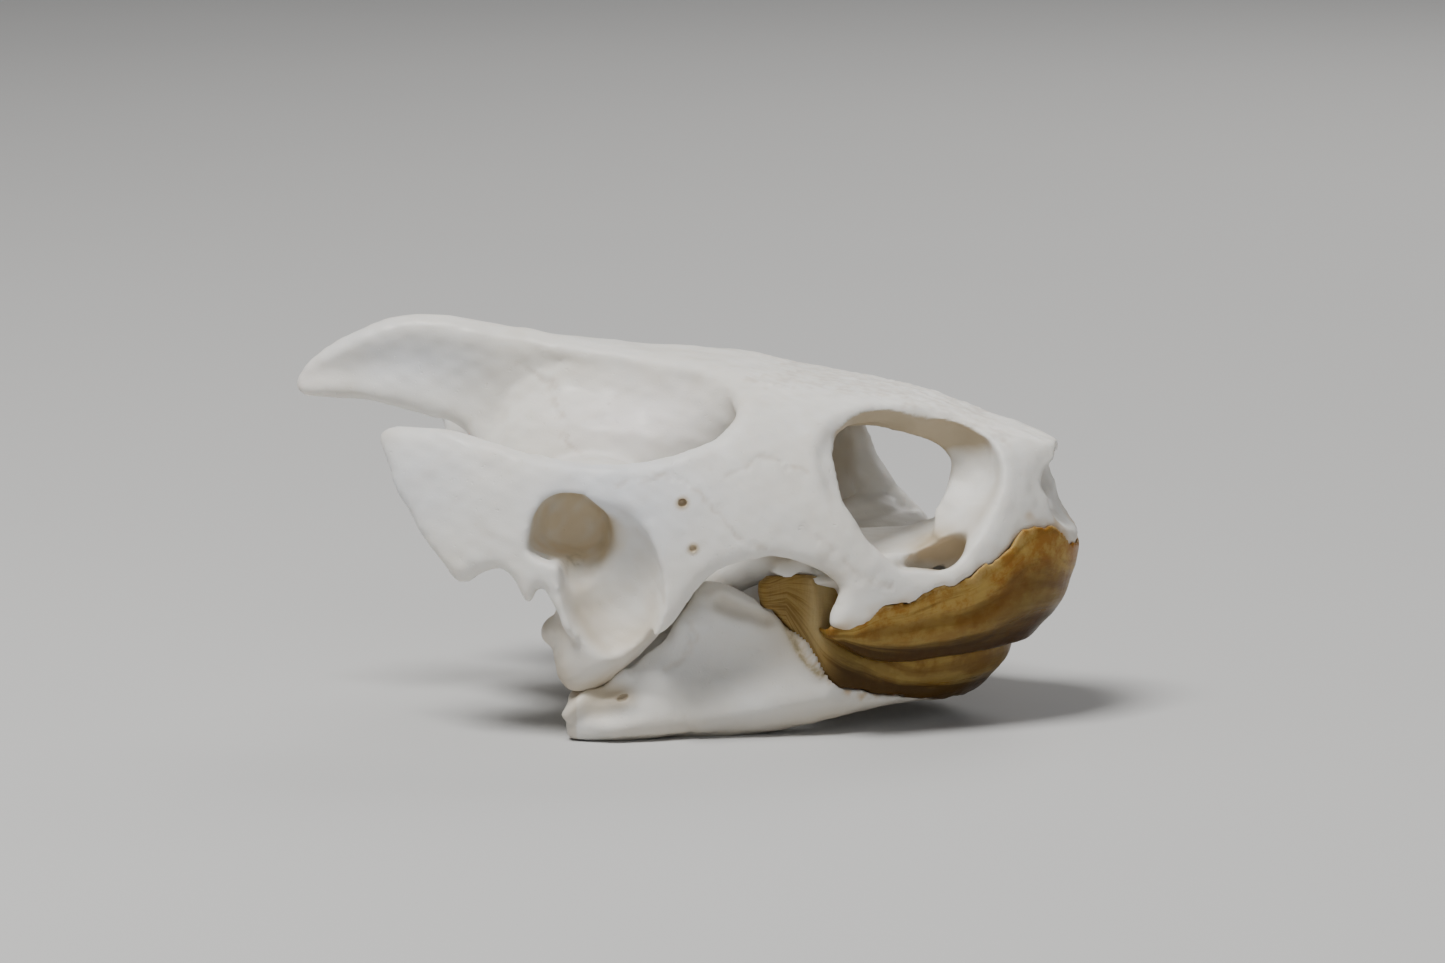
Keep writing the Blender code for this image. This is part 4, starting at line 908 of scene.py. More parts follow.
# Side view of the left half of the lower jaw, as (x, z), from the rear end forwards.
MANDIBLE_UPPER = (
    (-5.9, 2.5), (-4.4, 3.2), (-2.2, 4.3), (-0.9, 5.2), (0.4, 6.0), (1.3, 7.3), (2.1, 8.1),
    (2.7, 9.1), (3.4, 9.5), (4.5, 9.3), (5.9, 8.7), (7.1, 7.9), (8.2, 6.8), (9.6, 6.1),
    (12.0, 5.7), (16.0, 5.4),
)
MANDIBLE_LOWER = ((16.0, 1.4), (12.0, 0.9), (8.0, 0.2), (4.0, -0.3), (-3.6, -0.3), (-5.6, 0.2))
# How far the lower jaw's outer face lies inside the jaw line in front, by height.
LOWER_LEAN = ((0.0, 4.4), (0.8, 3.5), (1.7, 2.0), (3.6, 0.5), (4.5, 0.05), (5.2, 0.6), (7.0, 1.4))
# The same at the sides of the jaw.
SIDE_LEAN = ((-0.3, 1.3), (0.8, 0.7), (2.5, 0.2), (4.5, 0.0), (7.0, 0.5), (9.5, 1.3))

# Rear and lower border of the lower jaw's horn, as (x, z).
LOWER_BORDER = (
    (7.2, 7.8), (8.4, 6.0), (9.4, 4.2), (10.4, 3.2), (12.1, 2.7), (13.8, 2.3), (15.4, 2.0),
    (17.5, 1.6), (20.2, 1.4),
)
# Where the horn's rear sheet ends, and the rear end of the seat that it leaves in the bone.
LOWER_REAR_X = 6.7
LOWER_SEAT_X = 7.3
# Top of the thin sheet that the lower horn ends in, and the middle of the column in it.
SHEET_TOP = (
    (6.1, 8.6), (6.7, 9.3), (7.4, 9.7), (8.3, 9.75), (9.3, 9.7), (10.3, 9.5), (11.2, 8.9), (12.4, 6.4),
)
COLUMN_X = 9.25
# Top of the lower horn where it shows from outside.
LOWER_TOP = ((6.1, 9.2), (8.3, 9.75), (10.3, 9.5), (11.4, 8.2), (12.8, 6.2), (20.2, 6.0))


def sheet_lean(s, z):
    """How far the outer face of the lower horn's rear sheet lies inside the jaw line."""
    return lower_lean(s, np.minimum(z, 4.6)) + 0.04 + 0.28 * np.clip(z - 4.6, 0, None)


def lower_lean(s, z):
    """How far the lower jaw's outer face lies inside the jaw line."""
    front = ramp(1 - np.abs(s) / 17.0)
    return front * profile(LOWER_LEAN)(z) + (1 - front) * profile(SIDE_LEAN)(z)


def lower_seat():
    """Everything outside the lower horn's inner face and above its lower border."""
    border = profile(LOWER_BORDER)

    def cut(s, x):
        low = float(border(x)) + 0.5 * ragged(s) + 0.05
        wall = [(0.3 + float(sheet_lean(s, z)), z) for z in np.linspace(low, 9.5, 12)]
        return wall + [(-2.0, 9.5), (-2.0, low)]

    return rings_to_solid("lower seat", lower_line.rings(lower_line.distance(LOWER_SEAT_X), 201, cut))


def jaw_plate():
    """Both halves of the lower jaw as one plate, unrolled along the jaw line."""
    upper = [(lower_line.distance(x), z) for x, z in MANDIBLE_UPPER]
    lower = [(lower_line.distance(x), z) for x, z in MANDIBLE_LOWER]
    right = [(-s, z) for s, z in upper][::-1] + [(-s, z) for s, z in lower][::-1]
    outline = rounded(upper + [(0.0, 5.3)] + right + [(0.0, 1.0)] + lower)

    def half(s, z):
        rear = unit((np.abs(s) - 16) / (lower_line.reach - 16))
        front = unit(1 - np.abs(s) / 12)
        low = unit((4.5 - z) / 3.5)
        return 0.75 + 0.45 * low + 0.55 * front + 0.5 * rear * low

    def surface(s, z):
        places, inward = lower_line.at(s)
        hollow = 0.7 * bell((np.abs(s) - 19.5) / 3.2) * bell((z - 5.0) / 2.0)
        depth = lower_lean(s, z) + half(s, z) + hollow
        flat = places + inward * depth[:, None]
        return np.column_stack([flat, z]), np.column_stack([inward, 0 * s])

    return plate("jaw plate", [outline], surface, half, edge_radius=1.1)


def jaw_joint(sign):
    """Broad rear end of the lower jaw that bears the skull's joint knob."""
    s = sign
    stations = ((-5.9, 10.7, 1.3, 1.5, 1.0), (-5.5, 10.7, 1.3, 2.0, 1.35), (-4.4, 10.6, 1.4, 2.3, 1.5),
                (-2.6, 10.5, 1.5, 2.2, 1.6), (-0.5, 10.3, 1.5, 1.6, 1.5), (1.2, 10.2, 1.5, 0.9, 1.2))
    return [
        loft("joint block", [across(x, oval((s * y, z), (wide, high), 0.0, 3.6, 24))
                             for x, y, z, wide, high in stations]),
        limb("inner beam", ((-3.4, s * 9.9, 1.5, 1.6, 1.5), (2.0, s * 9.9, 1.7, 1.1, 1.5),
                            (8.0, s * 8.6, 2.2, 0.9, 1.3))),
    ]


def make_mandible(horn):
    """The lower jaw's bone, with the seats of its horn and of the joint, cut flat by the floor."""
    pieces = [jaw_plate(), blob("chin shelf", (15.4, 0, 2.9), (2.2, 4.2, 1.7))]
    for sign in (1, -1):
        pieces += jaw_joint(sign)
    jaw = join("mandible_bone", pieces)
    melt(jaw, BONE_VOXEL, 0)
    seats = [grown(horn, SEAT_GAP), lower_seat()] + [quadrate(s, 0.15, 9.0) for s in (1, -1)]
    seat = join("seats", seats)
    melt(seat, BONE_VOXEL, 0)
    carve(jaw, seat)
    melt(jaw, BONE_VOXEL, 10)
    carve(jaw, box("floor", (-30, -30, -4), (30, 30, 0.0)))
    keep_largest(jaw)
    return jaw


def box(name, low, high):
    """Block between two corners."""
    xs, ys, zs = zip(low, high)
    points = [(x, y, z) for x in xs for y in ys for z in zs]
    faces = [[0, 1, 3, 2], [4, 6, 7, 5], [0, 4, 5, 1], [2, 3, 7, 6], [0, 2, 6, 4], [1, 5, 7, 3]]
    return solid(name, points, faces)


def lower_sheath():
    """Horn over the front of the lower jaw, its cutting edge inside the upper one.

    Behind, it stands up as a thin sheet with a rounded column in it.
    """
    border, sheet = profile(LOWER_BORDER), profile(SHEET_TOP)
    reach = lower_line.distance(LOWER_REAR_X)

    def trough(s, low):
        """Section in front: outer wall, cutting edge and shelf inside the jaw."""
        sag = 0.8 * (1 - abs(s) / reach)
        shelf = 4.6 - 2.5 * unit((abs(s) / reach - 0.5) / 0.3)
        return (
            [(float(lower_lean(s, z)), z) for z in np.linspace(low, 4.6, 6)]
            + [(0.7, 5.3), (1.2, 6.1), (1.8, 6.05), (0.5 * shelf + 1.2, 5.7 - sag),
               (shelf, 5.2 - sag), (shelf, 4.4 - sag), (0.5 * shelf + 0.4, 4.8 - 0.5 * sag),
               (HORN + 0.5, 4.8)]
            + [(HORN + float(lower_lean(s, z)), z) for z in np.linspace(4.0, low, 4)]
        )

    def upright(s, x, low, high):
        """Section behind: a thin sheet, thicker at the column."""
        rise = np.linspace(0, 1, 9)
        column = 0.55 * bell((x - COLUMN_X) / 0.8) * unit(2.5 * rise - 0.4)
        heights = low + (high - low) * rise
        outer = sheet_lean(s, heights) - column
        top_edge = [(outer[-1] + 0.35, high + 0.1), (outer[-1] + 0.75, high)]
        back = [(float(sheet_lean(s, z)) + 0.85, z)
                for z in low + (high - low) * np.linspace(0.9, 0, 7)]
        return list(zip(outer, heights)) + top_edge + back

    def cut(s, x):
        low = float(border(x)) + 0.5 * ragged(s)
        high = max(float(sheet(x)) + 0.6 * ragged(s), low + 0.8)
        rear = ramp((12.4 - x) / 1.1)
        return (1 - rear) * np.array(trough(s, low)) + rear * np.array(upright(s, x, low, high))

    return rings_to_solid("lower_horn", lower_line.rings(reach, 241, cut))


def finish_sheath(obj):
    """Evens out a sheath's skin."""
    melt(obj, HORN_VOXEL, 5)
    keep_largest(obj)
    return obj


def grown(obj, by):
    """Copy of a closed mesh, swollen evenly, for cutting its seat."""
    swollen = placed("seat", obj.data.copy())
    displace = swollen.modifiers.new("swell", "DISPLACE")
    displace.strength = by * MM
    displace.mid_level = 0.0
    bake(swollen)
    return swollen


# Marks and relief.

# Lines where the skull's bones meet, as (x, z) seen from the side.
CHEEK_SUTURE = (
    (-2.5, 15.8), (-1.8, 16.1), (-1.2, 16.05), (-0.5, 16.2), (0.2, 16.5), (1.0, 16.2), (1.7, 15.9),
    (2.4, 15.4), (3.1, 14.7), (3.8, 13.7), (4.6, 12.8), (5.4, 12.3), (6.3, 12.0),
)
BROW_SUTURE = (
    (4.0, 16.4), (4.7, 16.6), (5.3, 17.0), (5.8, 17.4), (6.7, 17.2), (7.9, 16.7), (8.8, 16.4),
)
MAXILLA_SUTURE = ((9.5, 12.6), (10.0, 12.2), (10.8, 11.2), (11.6, 10.5), (12.5, 9.9), (13.6, 9.5))
ROOF_SUTURE = (
    (4.3, 21.2), (6.4, 21.0), (8.7, 20.7), (11.1, 20.4), (12.8, 20.0), (15.3, 19.4), (17.1, 18.9),
    (19.0, 18.1), (20.2, 17.4),
)
BRAIN_SUTURE = (
    (-10.3, 21.3), (-8.6, 20.3), (-8.0, 20.4), (-8.1, 19.6), (-7.5, 18.7), (-7.0, 18.3),
    (-7.1, 17.5), (-6.6, 16.8), (-5.8, 16.5),
)
# Lines on the lower jaw: suture, crack, splint of bone, ridges and worn facet.
JAW_SUTURE = ((1.6, 7.1), (1.9, 6.2), (1.3, 5.0), (0.1, 4.3))
JAW_CRACK = ((7.2, 6.9), (7.9, 5.5), (8.6, 4.5), (9.4, 3.8))
SPLINT = ((6.9, 8.2), (7.8, 6.5), (8.4, 5.2), (9.3, 4.1))
REAR_RIDGE = ((-5.6, 1.6), (-4.6, 2.6), (-3.6, 3.4), (-2.2, 4.0))
LOW_RIDGE = ((-3.0, 1.0), (1.0, 1.3), (5.0, 1.8), (9.5, 2.5))
FACET = ((3.4, 8.3), (4.6, 7.7), (6.0, 7.3))
# Ridges of the lower jaw as height, line and width, and hollows as depth, middle and radii.
JAW_RIDGES = ((0.5, SPLINT, 0.42), (0.45, REAR_RIDGE, 0.34), (0.35, LOW_RIDGE, 0.8))
JAW_HOLLOWS = (
    (1.1, (3.6, 11.0, 4.9), (5.4, 4.0, 3.3)), (0.3, (0.2, 12.0, 5.4), (2.0, 4.0, 1.5)),
    (0.4, (-3.2, 12.5, 1.7), (2.6, 3.0, 0.9)), (0.3, (4.6, 11.0, 8.2), (1.8, 4.0, 1.2)),
)

# Nerve holes of the cheek: x, z, radius, depth and the radius of the tint around them.
NERVE_HOLES = ((1.4, 14.8, 0.26, 0.4, 0.42), (2.1, 12.1, 0.2, 0.18, 0.36))

# Where the bone's colour turns, and where painted shade lies on it, as strength, middle and radii of soft
# spots on both sides.
# Painted shade, in tan, inside the front of the eye socket, the opening in its floor and the nose.
RECESS_SHADE_TAN = (
    (1.6, (16.2, 4.6, 10.8), (3.4, 5.0, 2.2)), (0.8, (18.4, 6.5, 15.0), (3.2, 3.6, 4.0)),
    (0.9, (20.6, 0.6, 14.4), (2.6, 2.2, 2.2)),
)
# Partly the bone's tan tone and partly painted shade in the recesses these spots cover, most of all the
# recess behind the eye socket.
TAN_AND_SHADE = (
    (0.4, (-4.8, 12.5, 9.5), (2.2, 3.0, 5.5)), (2.2, (7.2, 8.0, 14.0), (3.0, 4.0, 5.0)),
    (0.35, (-13.0, 0.0, 11.5), (3.5, 3.0, 3.0)), (0.8, (-4.6, 11.0, 4.0), (3.2, 3.0, 2.2)),
    (0.35, (10.0, 10.5, 10.0), (3.2, 3.0, 2.6)),
)
STAIN = (
    (1.0, (-5.3, 12.0, 11.0), (1.1, 3.2, 0.9)), (0.7, (-7.0, 12.5, 9.2), (1.0, 2.5, 1.2)),
    (0.5, (10.0, 11.0, 9.2), (1.2, 2.0, 1.4)), (0.9, (7.6, 8.4, 12.0), (1.8, 2.6, 1.8)),
)
# Painted bluish shade on the crest's lower slope, the squamosal and the rear of the cheek.
COOL_SHADE = (
    (0.9, (-3.0, 13.0, 14.6), (9.0, 6.0, 6.5)), (0.8, (-14.0, 10.5, 15.0), (6.5, 4.0, 5.0)),
    (0.8, (-17.0, 0.0, 21.5), (8.0, 4.0, 3.0)),
)
PINK = ((1.0, (-3.0, 4.5, 18.6), (9.0, 4.0, 4.5)), (0.8, (-24.0, 0.0, 20.0), (3.0, 2.5, 2.5)))
# Partly the bone's tan tone and partly painted shade, towards the jaw's rear and along its lower front
# edge.
JAW_TAN_AND_SHADE = (
    (0.75, (-2.4, 12.0, 2.7), (1.6, 2.5, 1.1)), (0.5, (-4.0, 11.0, 3.2), (3.0, 3.0, 1.6)),
    (0.45, (7.5, 9.8, 6.2), (2.6, 3.0, 3.0)), (0.4, (12.0, 6.0, 1.0), (9.0, 9.0, 2.0)),
)


def wavy(points, size, seed):
    """Smooth irregular field of about unit height over points, the same on every run."""
    waves = 16
    chance = np.random.default_rng(seed)
    direction = chance.normal(size=(waves, 3))
    direction /= np.linalg.norm(direction, axis=1)[:, None]
    rate = 2 * math.pi / size * chance.uniform(0.5, 1.6, waves)
    phase = chance.uniform(0, 2 * math.pi, waves)
    total = np.zeros(len(points))
    for d, r, p in zip(direction, rate, phase):
        total += np.sin((points @ d) * r + p)
    return total * math.sqrt(2 / waves)


def along_line(u, v, line):
    """Distance of each (u, v) from a broken line."""
    line = np.array(line)
    nearest = np.full(len(u), 1e9)
    for (a0, a1), (b0, b1) in zip(line[:-1], line[1:]):
        run = np.array((b0 - a0, b1 - a1))
        share = unit(((u - a0) * run[0] + (v - a1) * run[1]) / (run @ run))
        nearest = np.minimum(nearest, np.hypot(u - a0 - share * run[0], v - a1 - share * run[1]))
    return nearest


def ball(points, centre, radii):
    """Soft spot: 1 in the middle of an ellipsoid mirrored to both sides, 0 outside it."""
    place = points.copy()
    place[:, 1] = np.abs(place[:, 1])
    return ramp(1 - np.linalg.norm((place - centre) / np.array(radii), axis=1))


def spots(points, table):
    """Sum of soft spots given as strength, middle and radii."""
    return sum(strength * ball(points, centre, radii) for strength, centre, radii in table)


def read(obj):
    """Points and normals of a mesh, in millimetres."""
    count = len(obj.data.vertices)
    points = np.empty(count * 3)
    obj.data.vertices.foreach_get("co", points)
    normals = np.empty(count * 3)
    obj.data.vertex_normals.foreach_get("vector", normals)
    return points.reshape(-1, 3) / MM, normals.reshape(-1, 3)


def write(obj, points):
    """Puts a mesh's points, in millimetres."""
    obj.data.vertices.foreach_set("co", (points * MM).ravel())
    obj.data.update()


def mark(obj, name, values):
    """Keeps one number per point for the material to read."""
    layer = obj.data.attributes.new(name, "FLOAT", "POINT")
    layer.data.foreach_set("value", np.asarray(values, np.float32))


def outer_share(points):
    """1 on the skull's outer shell, 0 on what lies deeper."""
    x, y, z = points.T
    rise = unit((z - SHELL_LOW_Z) / (roof_z(x) - SHELL_LOW_Z))
    shell_y = half_width(x) * (1 - rise**SECTION_SQUARENESS) ** (1 / SECTION_SQUARENESS)
    depth = shell_y - np.abs(y)
    on_roof = unit(1 - (roof_z(x) - z) / 1.2)
    return unit(np.maximum(unit(1.6 - depth), on_roof))


def groove_bone(skull):
    """Sutures, soft swellings and nerve holes of the cranium."""
    points, normals = read(skull)
    x, y, z = points.T
    outer = outer_share(points)
    side_face = outer * unit((np.abs(y) - 5.0) / 2.0)
    jitter = 0.12 * wavy(points, 0.9, 3)
    high = z + 0.12 * wavy(points, 0.7, 5)
    lines = np.zeros(len(points))
    for line, gate, width in (
        (CHEEK_SUTURE, side_face, 0.16), (BROW_SUTURE, side_face, 0.14),
        (MAXILLA_SUTURE, side_face, 0.18), (ROOF_SUTURE, outer, 0.16),
    ):
        lines = np.maximum(lines, gate * bell(along_line(x + jitter, high, line) / width))
    brain = (np.abs(y) < 7.0) & (z < 21.6)
    lines = np.maximum(lines, 0.8 * brain * bell(along_line(x + jitter, z, BRAIN_SUTURE) / 0.2))
    middle = bell((y + 0.25 * wavy(points, 1.1, 9)) / 0.14) * unit((x + 1) / 3)
    lines = np.maximum(lines, 0.7 * middle * unit((z - roof_z(x) + 0.9) / 0.5))
    shift = -0.05 * lines + 0.022 * wavy(points, 3.4, 1) + 0.012 * wavy(points, 1.1, 2)
    write(skull, points + normals * shift[:, None])
    for hole_x, hole_z, radius, depth, _ in NERVE_HOLES:
        hole_y = float(shell(*side(hole_x, hole_z))[1])
        for sign in (1, -1):
            place = (hole_x, sign * hole_y, hole_z)
            carve(skull, blob("nerve hole", place, (radius, depth, radius), fineness=3))


def mark_bone(skull):
    """The marks that the cranium's colour follows, painted shade among them."""
    points, normals = read(skull)
    x, y, z = points.T
    outer = outer_share(points)
    deep = 1 - outer
    # The ear cavity's warm tan, stronger in its depth where it is painted shade as well, and painted shade
    # in the recess behind the eye socket.
    drum = unit(2.0 * ball(points, (-5.3, 9.4, 13.0), (4.4, 5.6, 3.9))) * (0.3 + 0.7 * deep)
    warm = drum + 0.8 * deep * ball(points, (7.2, 8.0, 14.5), (3.0, 4.0, 5.0))
    warm *= 1 - 0.45 * ball(points, (-7.6, 9.5, 14.6), (2.2, 5.0, 2.6))
    mark(skull, "warm", unit(warm * (1 + 0.18 * wavy(points, 1.3, 23))))
    # Tan tone of the bone together with painted shade in recesses, under the brow and low inside the skull.
    tan_and_shade = spots(points, TAN_AND_SHADE) + deep * spots(points, RECESS_SHADE_TAN)
    # Painted shade inside the ear cavity's hole, strongest in its depth.
    tan_and_shade += 0.75 * ball(points, (-3.2, 10.6, 13.6), (1.7, 3.6, 3.0)) * (0.2 + 0.8 * deep)
    # Painted shade on faces turned down under the brow, and deep under the roof between the sockets.
    under_brow_shade = unit(-2.4 * normals[:, 2] - 0.1)
    tan_and_shade += 1.9 * under_brow_shade * unit(2.5 * ball(points, (13.8, 6.0, 17.6), (7.5, 6.5, 3.4)))
    tan_and_shade += 0.8 * deep * unit(2.2 * ball(points, (14.5, 3.4, 17.6), (6.5, 3.6, 2.2)))
    # Painted shade, darker towards the bottom deep inside the skull.
    tan_and_shade += 0.5 * deep * unit((9.8 - z) / 3.0)
    for hole_x, hole_z, _, _, tinted in NERVE_HOLES:
        tan_and_shade += 1.3 * bell(((x - hole_x) ** 2 + (z - hole_z) ** 2) / tinted**2) * (np.abs(y) > 9)
    mark(skull, "tan_and_shade", unit(tan_and_shade + 0.06 * wavy(points, 2.0, 21)))
    mark(skull, "stain", unit(spots(points, STAIN) * (0.6 + 0.6 * wavy(points, 0.5, 22))))
    # Painted bluish shade on the crest, the squamosal and the rear of the cheek.
    mark(skull, "cool_painted_shade", unit(spots(points, COOL_SHADE)))
    mark(skull, "pink", unit(spots(points, PINK)))
    over = z - profile(UPPER_BORDER)(x) - 0.25 * wavy(points, 1.6, 41)
    amber = bell(np.clip(over, 0, None) / 0.55) * outer * unit((x - 9.0) / 1.5)
    mark(skull, "amber", amber * unit(0.5 + 0.3 * wavy(points, 2.2, 42)))
    cheek_x = x + 0.1 * wavy(points, 0.9, 3)
    brain_x = x + 0.12 * wavy(points, 0.7, 5)
    high = z + 0.1 * wavy(points, 0.8, 6)
    fine = np.zeros(len(points))
    for u, v, line, width, gate in (
        (cheek_x, z, CHEEK_SUTURE, 0.15, outer * (np.abs(y) > 9)),
        (cheek_x, z, BROW_SUTURE, 0.15, outer * (np.abs(y) > 9)),
        (brain_x, z, BRAIN_SUTURE, 0.16, (np.abs(y) < 7) & (z < 21.6)),
        (x, high, ROOF_SUTURE, 0.15, outer),
        (x, high, MAXILLA_SUTURE, 0.2, outer * (np.abs(y) > 8)),
    ):
        fine = np.maximum(fine, gate * bell(along_line(u, v, line) / width))
    mark(skull, "line", fine * unit(0.6 + 0.5 * wavy(points, 1.3, 12)))


def outer_side(points, normals):
    """1 on the lower jaw's outer faces, 0 elsewhere."""
    return unit(3 * normals[:, 1] * np.sign(points[:, 1])) * (np.abs(points[:, 1]) > 7)


def groove_jaw(jaw):
    """Suture, crack, ridges, hollows and nerve hole of the lower jaw."""
    points, normals = read(jaw)
    x, _, z = points.T
    outside = outer_side(points, normals)
    jitter = 0.1 * wavy(points, 0.8, 31)
    shift = 0.03 * wavy(points, 2.8, 33) + 0.01 * wavy(points, 0.9, 34)
    shift -= 0.09 * outside * bell(along_line(x + jitter, z, JAW_SUTURE) / 0.2)
    shift -= 0.12 * outside * bell(along_line(x + jitter, z, JAW_CRACK) / 0.14)
    for height, line, width in JAW_RIDGES:
        shift += height * outside * bell(along_line(x, z, line) / width)
    shift -= outside * spots(points, JAW_HOLLOWS)
    shift -= 0.4 * outside * ramp(1 - along_line(x, z, FACET) / 0.75)
    shift = np.where(z < 0.4, 0.0, shift)
    write(jaw, points + normals * shift[:, None])
    for sign in (1, -1):
        place = (-2.3, sign * 12.7, 2.75)
        carve(jaw, blob("nerve hole", place, (0.45, 0.9, 0.26), (0, -20, 0), fineness=3))


def mark_jaw(jaw):
    """The marks that the lower jaw's colour follows, painted shade among them."""
    points, normals = read(jaw)
    x, y, z = points.T
    flank = np.abs(y) > 7
    tan_and_shade = spots(points, JAW_TAN_AND_SHADE) + 0.4 * ((np.abs(x + 6.0) < 0.9) & (z < 3))
    # Painted shade, darker towards the jaw's lower edge.
    tan_and_shade += 0.55 * unit((1.9 - z) / 1.9) * unit((x + 5) / 3)
    tan_and_shade += 0.5 * unit(1 - along_line(x, z, FACET) / 1.1) * flank
    tan_and_shade += 0.25 * bell(along_line(x, z, SPLINT) / 0.7) * flank
    crack = bell(along_line(x, z, JAW_CRACK) / 0.2) * flank
    mark(jaw, "tan_and_shade", unit(tan_and_shade + 0.9 * crack))
    mark(jaw, "stain", 0.8 * crack)
    mark(jaw, "warm", 0.8 * ball(points, (-4.0, 12.0, 2.6), (2.4, 3.0, 2.0)))
    gap = profile(LOWER_BORDER)(x) - z - 0.2 * wavy(points, 1.4, 43)
    amber = bell(np.clip(gap - 0.1, 0, None) / 0.35) * outer_side(points, normals) * unit((x - 7.5) / 2)
    mark(jaw, "amber", amber * unit(0.6 + 0.5 * wavy(points, 0.7, 44)))
    # Painted bluish shade in the hollow of the jaw's side.
    mark(jaw, "cool_painted_shade", 0.5 * ball(points, (2.5, 11.5, 6.0), (5.0, 4.0, 4.5)))
    mark(jaw, "pink", 0.4 * ball(points, (-4.5, 11.0, 1.5), (2.0, 3.0, 1.5)))
    near = along_line(x + 0.1 * wavy(points, 0.8, 31), z, JAW_SUTURE)
    mark(jaw, "line", 0.6 * bell(near / 0.2) * (np.abs(y) > 8))


def mark_horn(horn, line, border, edge, swells, sheet):
    """Low swellings along a horn, and the marks that its colour follows, painted shade towards the snout
    among them.

    swells are place, width and height by the share below the border; sheet is 1 on the lower
    horn, which ends in a thin sheet, and 0 on the upper one.
    """
    points, normals = read(horn)
    x, y, z = points.T
    high, low = profile(border)(x), profile(edge)(x)
    below = (high - z) / np.maximum(high - low, 0.9)
    side_out = (normals[:, :2] * np.column_stack([np.clip(x / 24, 0.2, 1), y / 14])).sum(1)
    lit = unit(3 * side_out - 0.3) * unit((x - 11.5) / 4) * (0.3 + 0.7 * unit((22.0 - x) / 3))
    shift = 0.035 * wavy(points, 3.2, 51) + 0.006 * wavy(points, 1.0, 52)
    for place, width, height in swells:
        shift += height * bell((below - place) / width)
    write(horn, points + normals * (lit * shift)[:, None])
    thin = unit((11.2 - x + 0.2 * (z - 6)) / 1.4) * unit((z - 3.2) / 2)
    mark(horn, "along", line.along_at(x, y))
    mark(horn, "below", np.clip(below, -0.5, 1.5))
    mark(horn, "height", z)
    mark(horn, "rear", (1 - sheet) * unit((11.4 - x) / 1.6))
    mark(horn, "sheet", sheet * thin)
    mark(horn, "column", sheet * bell((x - COLUMN_X) / 0.75) * unit((z - 5.0) / 2))
    mark(horn, "flank", sheet * bell((x - 10.9) / 0.6) * unit((z - 5.4) / 1.2))
    # Painted shade on the horn towards the snout.
    mark(horn, "front", unit((x - 16.0) / 5) * unit(1.4 * below - 0.2))
    mark(horn, "hatched", unit((15.5 - x) / 4))
    mark(horn, "inner", unit(0.3 - 3 * side_out))


# Materials.

class Nodes:
    """A material, and short calls that build its node tree; sockets in, sockets out."""

    def __init__(self, name):
        self.material = bpy.data.materials.new(name)
        self.material.use_nodes = True
        self.tree = self.material.node_tree
        place = self.tree.nodes.new("ShaderNodeTexCoord")
        scale = self.tree.nodes.new("ShaderNodeMapping")
        scale.inputs["Scale"].default_value = (1000, 1000, 1000)
        self.tree.links.new(place.outputs["Object"], scale.inputs["Vector"])
        self.mm = scale.outputs["Vector"]

    def finished(self, looks):
        """The material, with each value or socket put on its shader's input."""
        body = self.tree.nodes["Principled BSDF"]
        for name, value in looks.items():
            self.fill(body.inputs[name], value)
        return self.material

    def fill(self, socket, value):
        """Links a socket to the value, or sets the value on it."""
        if isinstance(value, bpy.types.NodeSocket):
            self.tree.links.new(value, socket)
        else:
            socket.default_value = value

    def marked(self, name):
        """What a mark says at each place."""
        node = self.tree.nodes.new("ShaderNodeAttribute")
        node.attribute_name = name
        return node.outputs["Fac"]

    def noise(self, scale, detail=3.0, rough=0.5, vector=None, distortion=0.0):
        """Cloudy noise in millimetres, or along another vector; a larger scale makes it finer."""
        node = self.tree.nodes.new("ShaderNodeTexNoise")
        node.inputs["Scale"].default_value = scale
        node.inputs["Detail"].default_value = detail
        node.inputs["Roughness"].default_value = rough
        node.inputs["Distortion"].default_value = distortion
        self.tree.links.new(self.mm if vector is None else vector, node.inputs["Vector"])
        return node.outputs["Fac"]

    def reckon(self, how, a, b):
        """One step of arithmetic."""
        node = self.tree.nodes.new("ShaderNodeMath")
        node.operation = how
        for socket, value in zip(node.inputs, (a, b)):
            self.fill(socket, value)
        return node.outputs["Value"]

    def times(self, a, b):
        """Product of two values."""
        return self.reckon("MULTIPLY", a, b)

    def plus(self, a, b):
        """Sum of two values."""
        return self.reckon("ADD", a, b)

    def spread(self, value, low, high, start=0.0, end=1.0):
        """Smooth change from start to end while the value goes from low to high."""
        node = self.tree.nodes.new("ShaderNodeMapRange")
        node.interpolation_type = "SMOOTHSTEP"
        for name, number in (("From Min", low), ("From Max", high), ("To Min", start), ("To Max", end)):
            node.inputs[name].default_value = number
        self.fill(node.inputs["Value"], value)
        return node.outputs["Result"]

    def mix(self, share, a, b):
        """Colour a, turned towards colour b by the share."""
        node = self.tree.nodes.new("ShaderNodeMix")
        node.data_type = "RGBA"
        self.fill(node.inputs["Factor"], share)
        for socket, value in ((node.inputs[6], a), (node.inputs[7], b)):
            self.fill(socket, (*value, 1.0) if isinstance(value, tuple) else value)
        return node.outputs[2]

    def tint(self, colour, name, strength, tone):
        """The colour turned towards a tone where the surface carries a mark."""
        return self.mix(self.times(self.marked(name), strength), colour, tone)

    def vector(self, x, y, z):
        """Three values as one vector."""
        node = self.tree.nodes.new("ShaderNodeCombineXYZ")
        for socket, value in zip(node.inputs, (x, y, z)):
            self.fill(socket, value)
        return node.outputs["Vector"]

    def bump(self, height, distance, strength, below=None):
        """Fine relief; distance is in metres, and below is a relief that it lies on."""
        node = self.tree.nodes.new("ShaderNodeBump")
        node.inputs["Distance"].default_value = distance
        node.inputs["Strength"].default_value = strength
        self.fill(node.inputs["Height"], height)
        if below is not None:
            self.tree.links.new(below, node.inputs["Normal"])
        return node.outputs["Normal"]


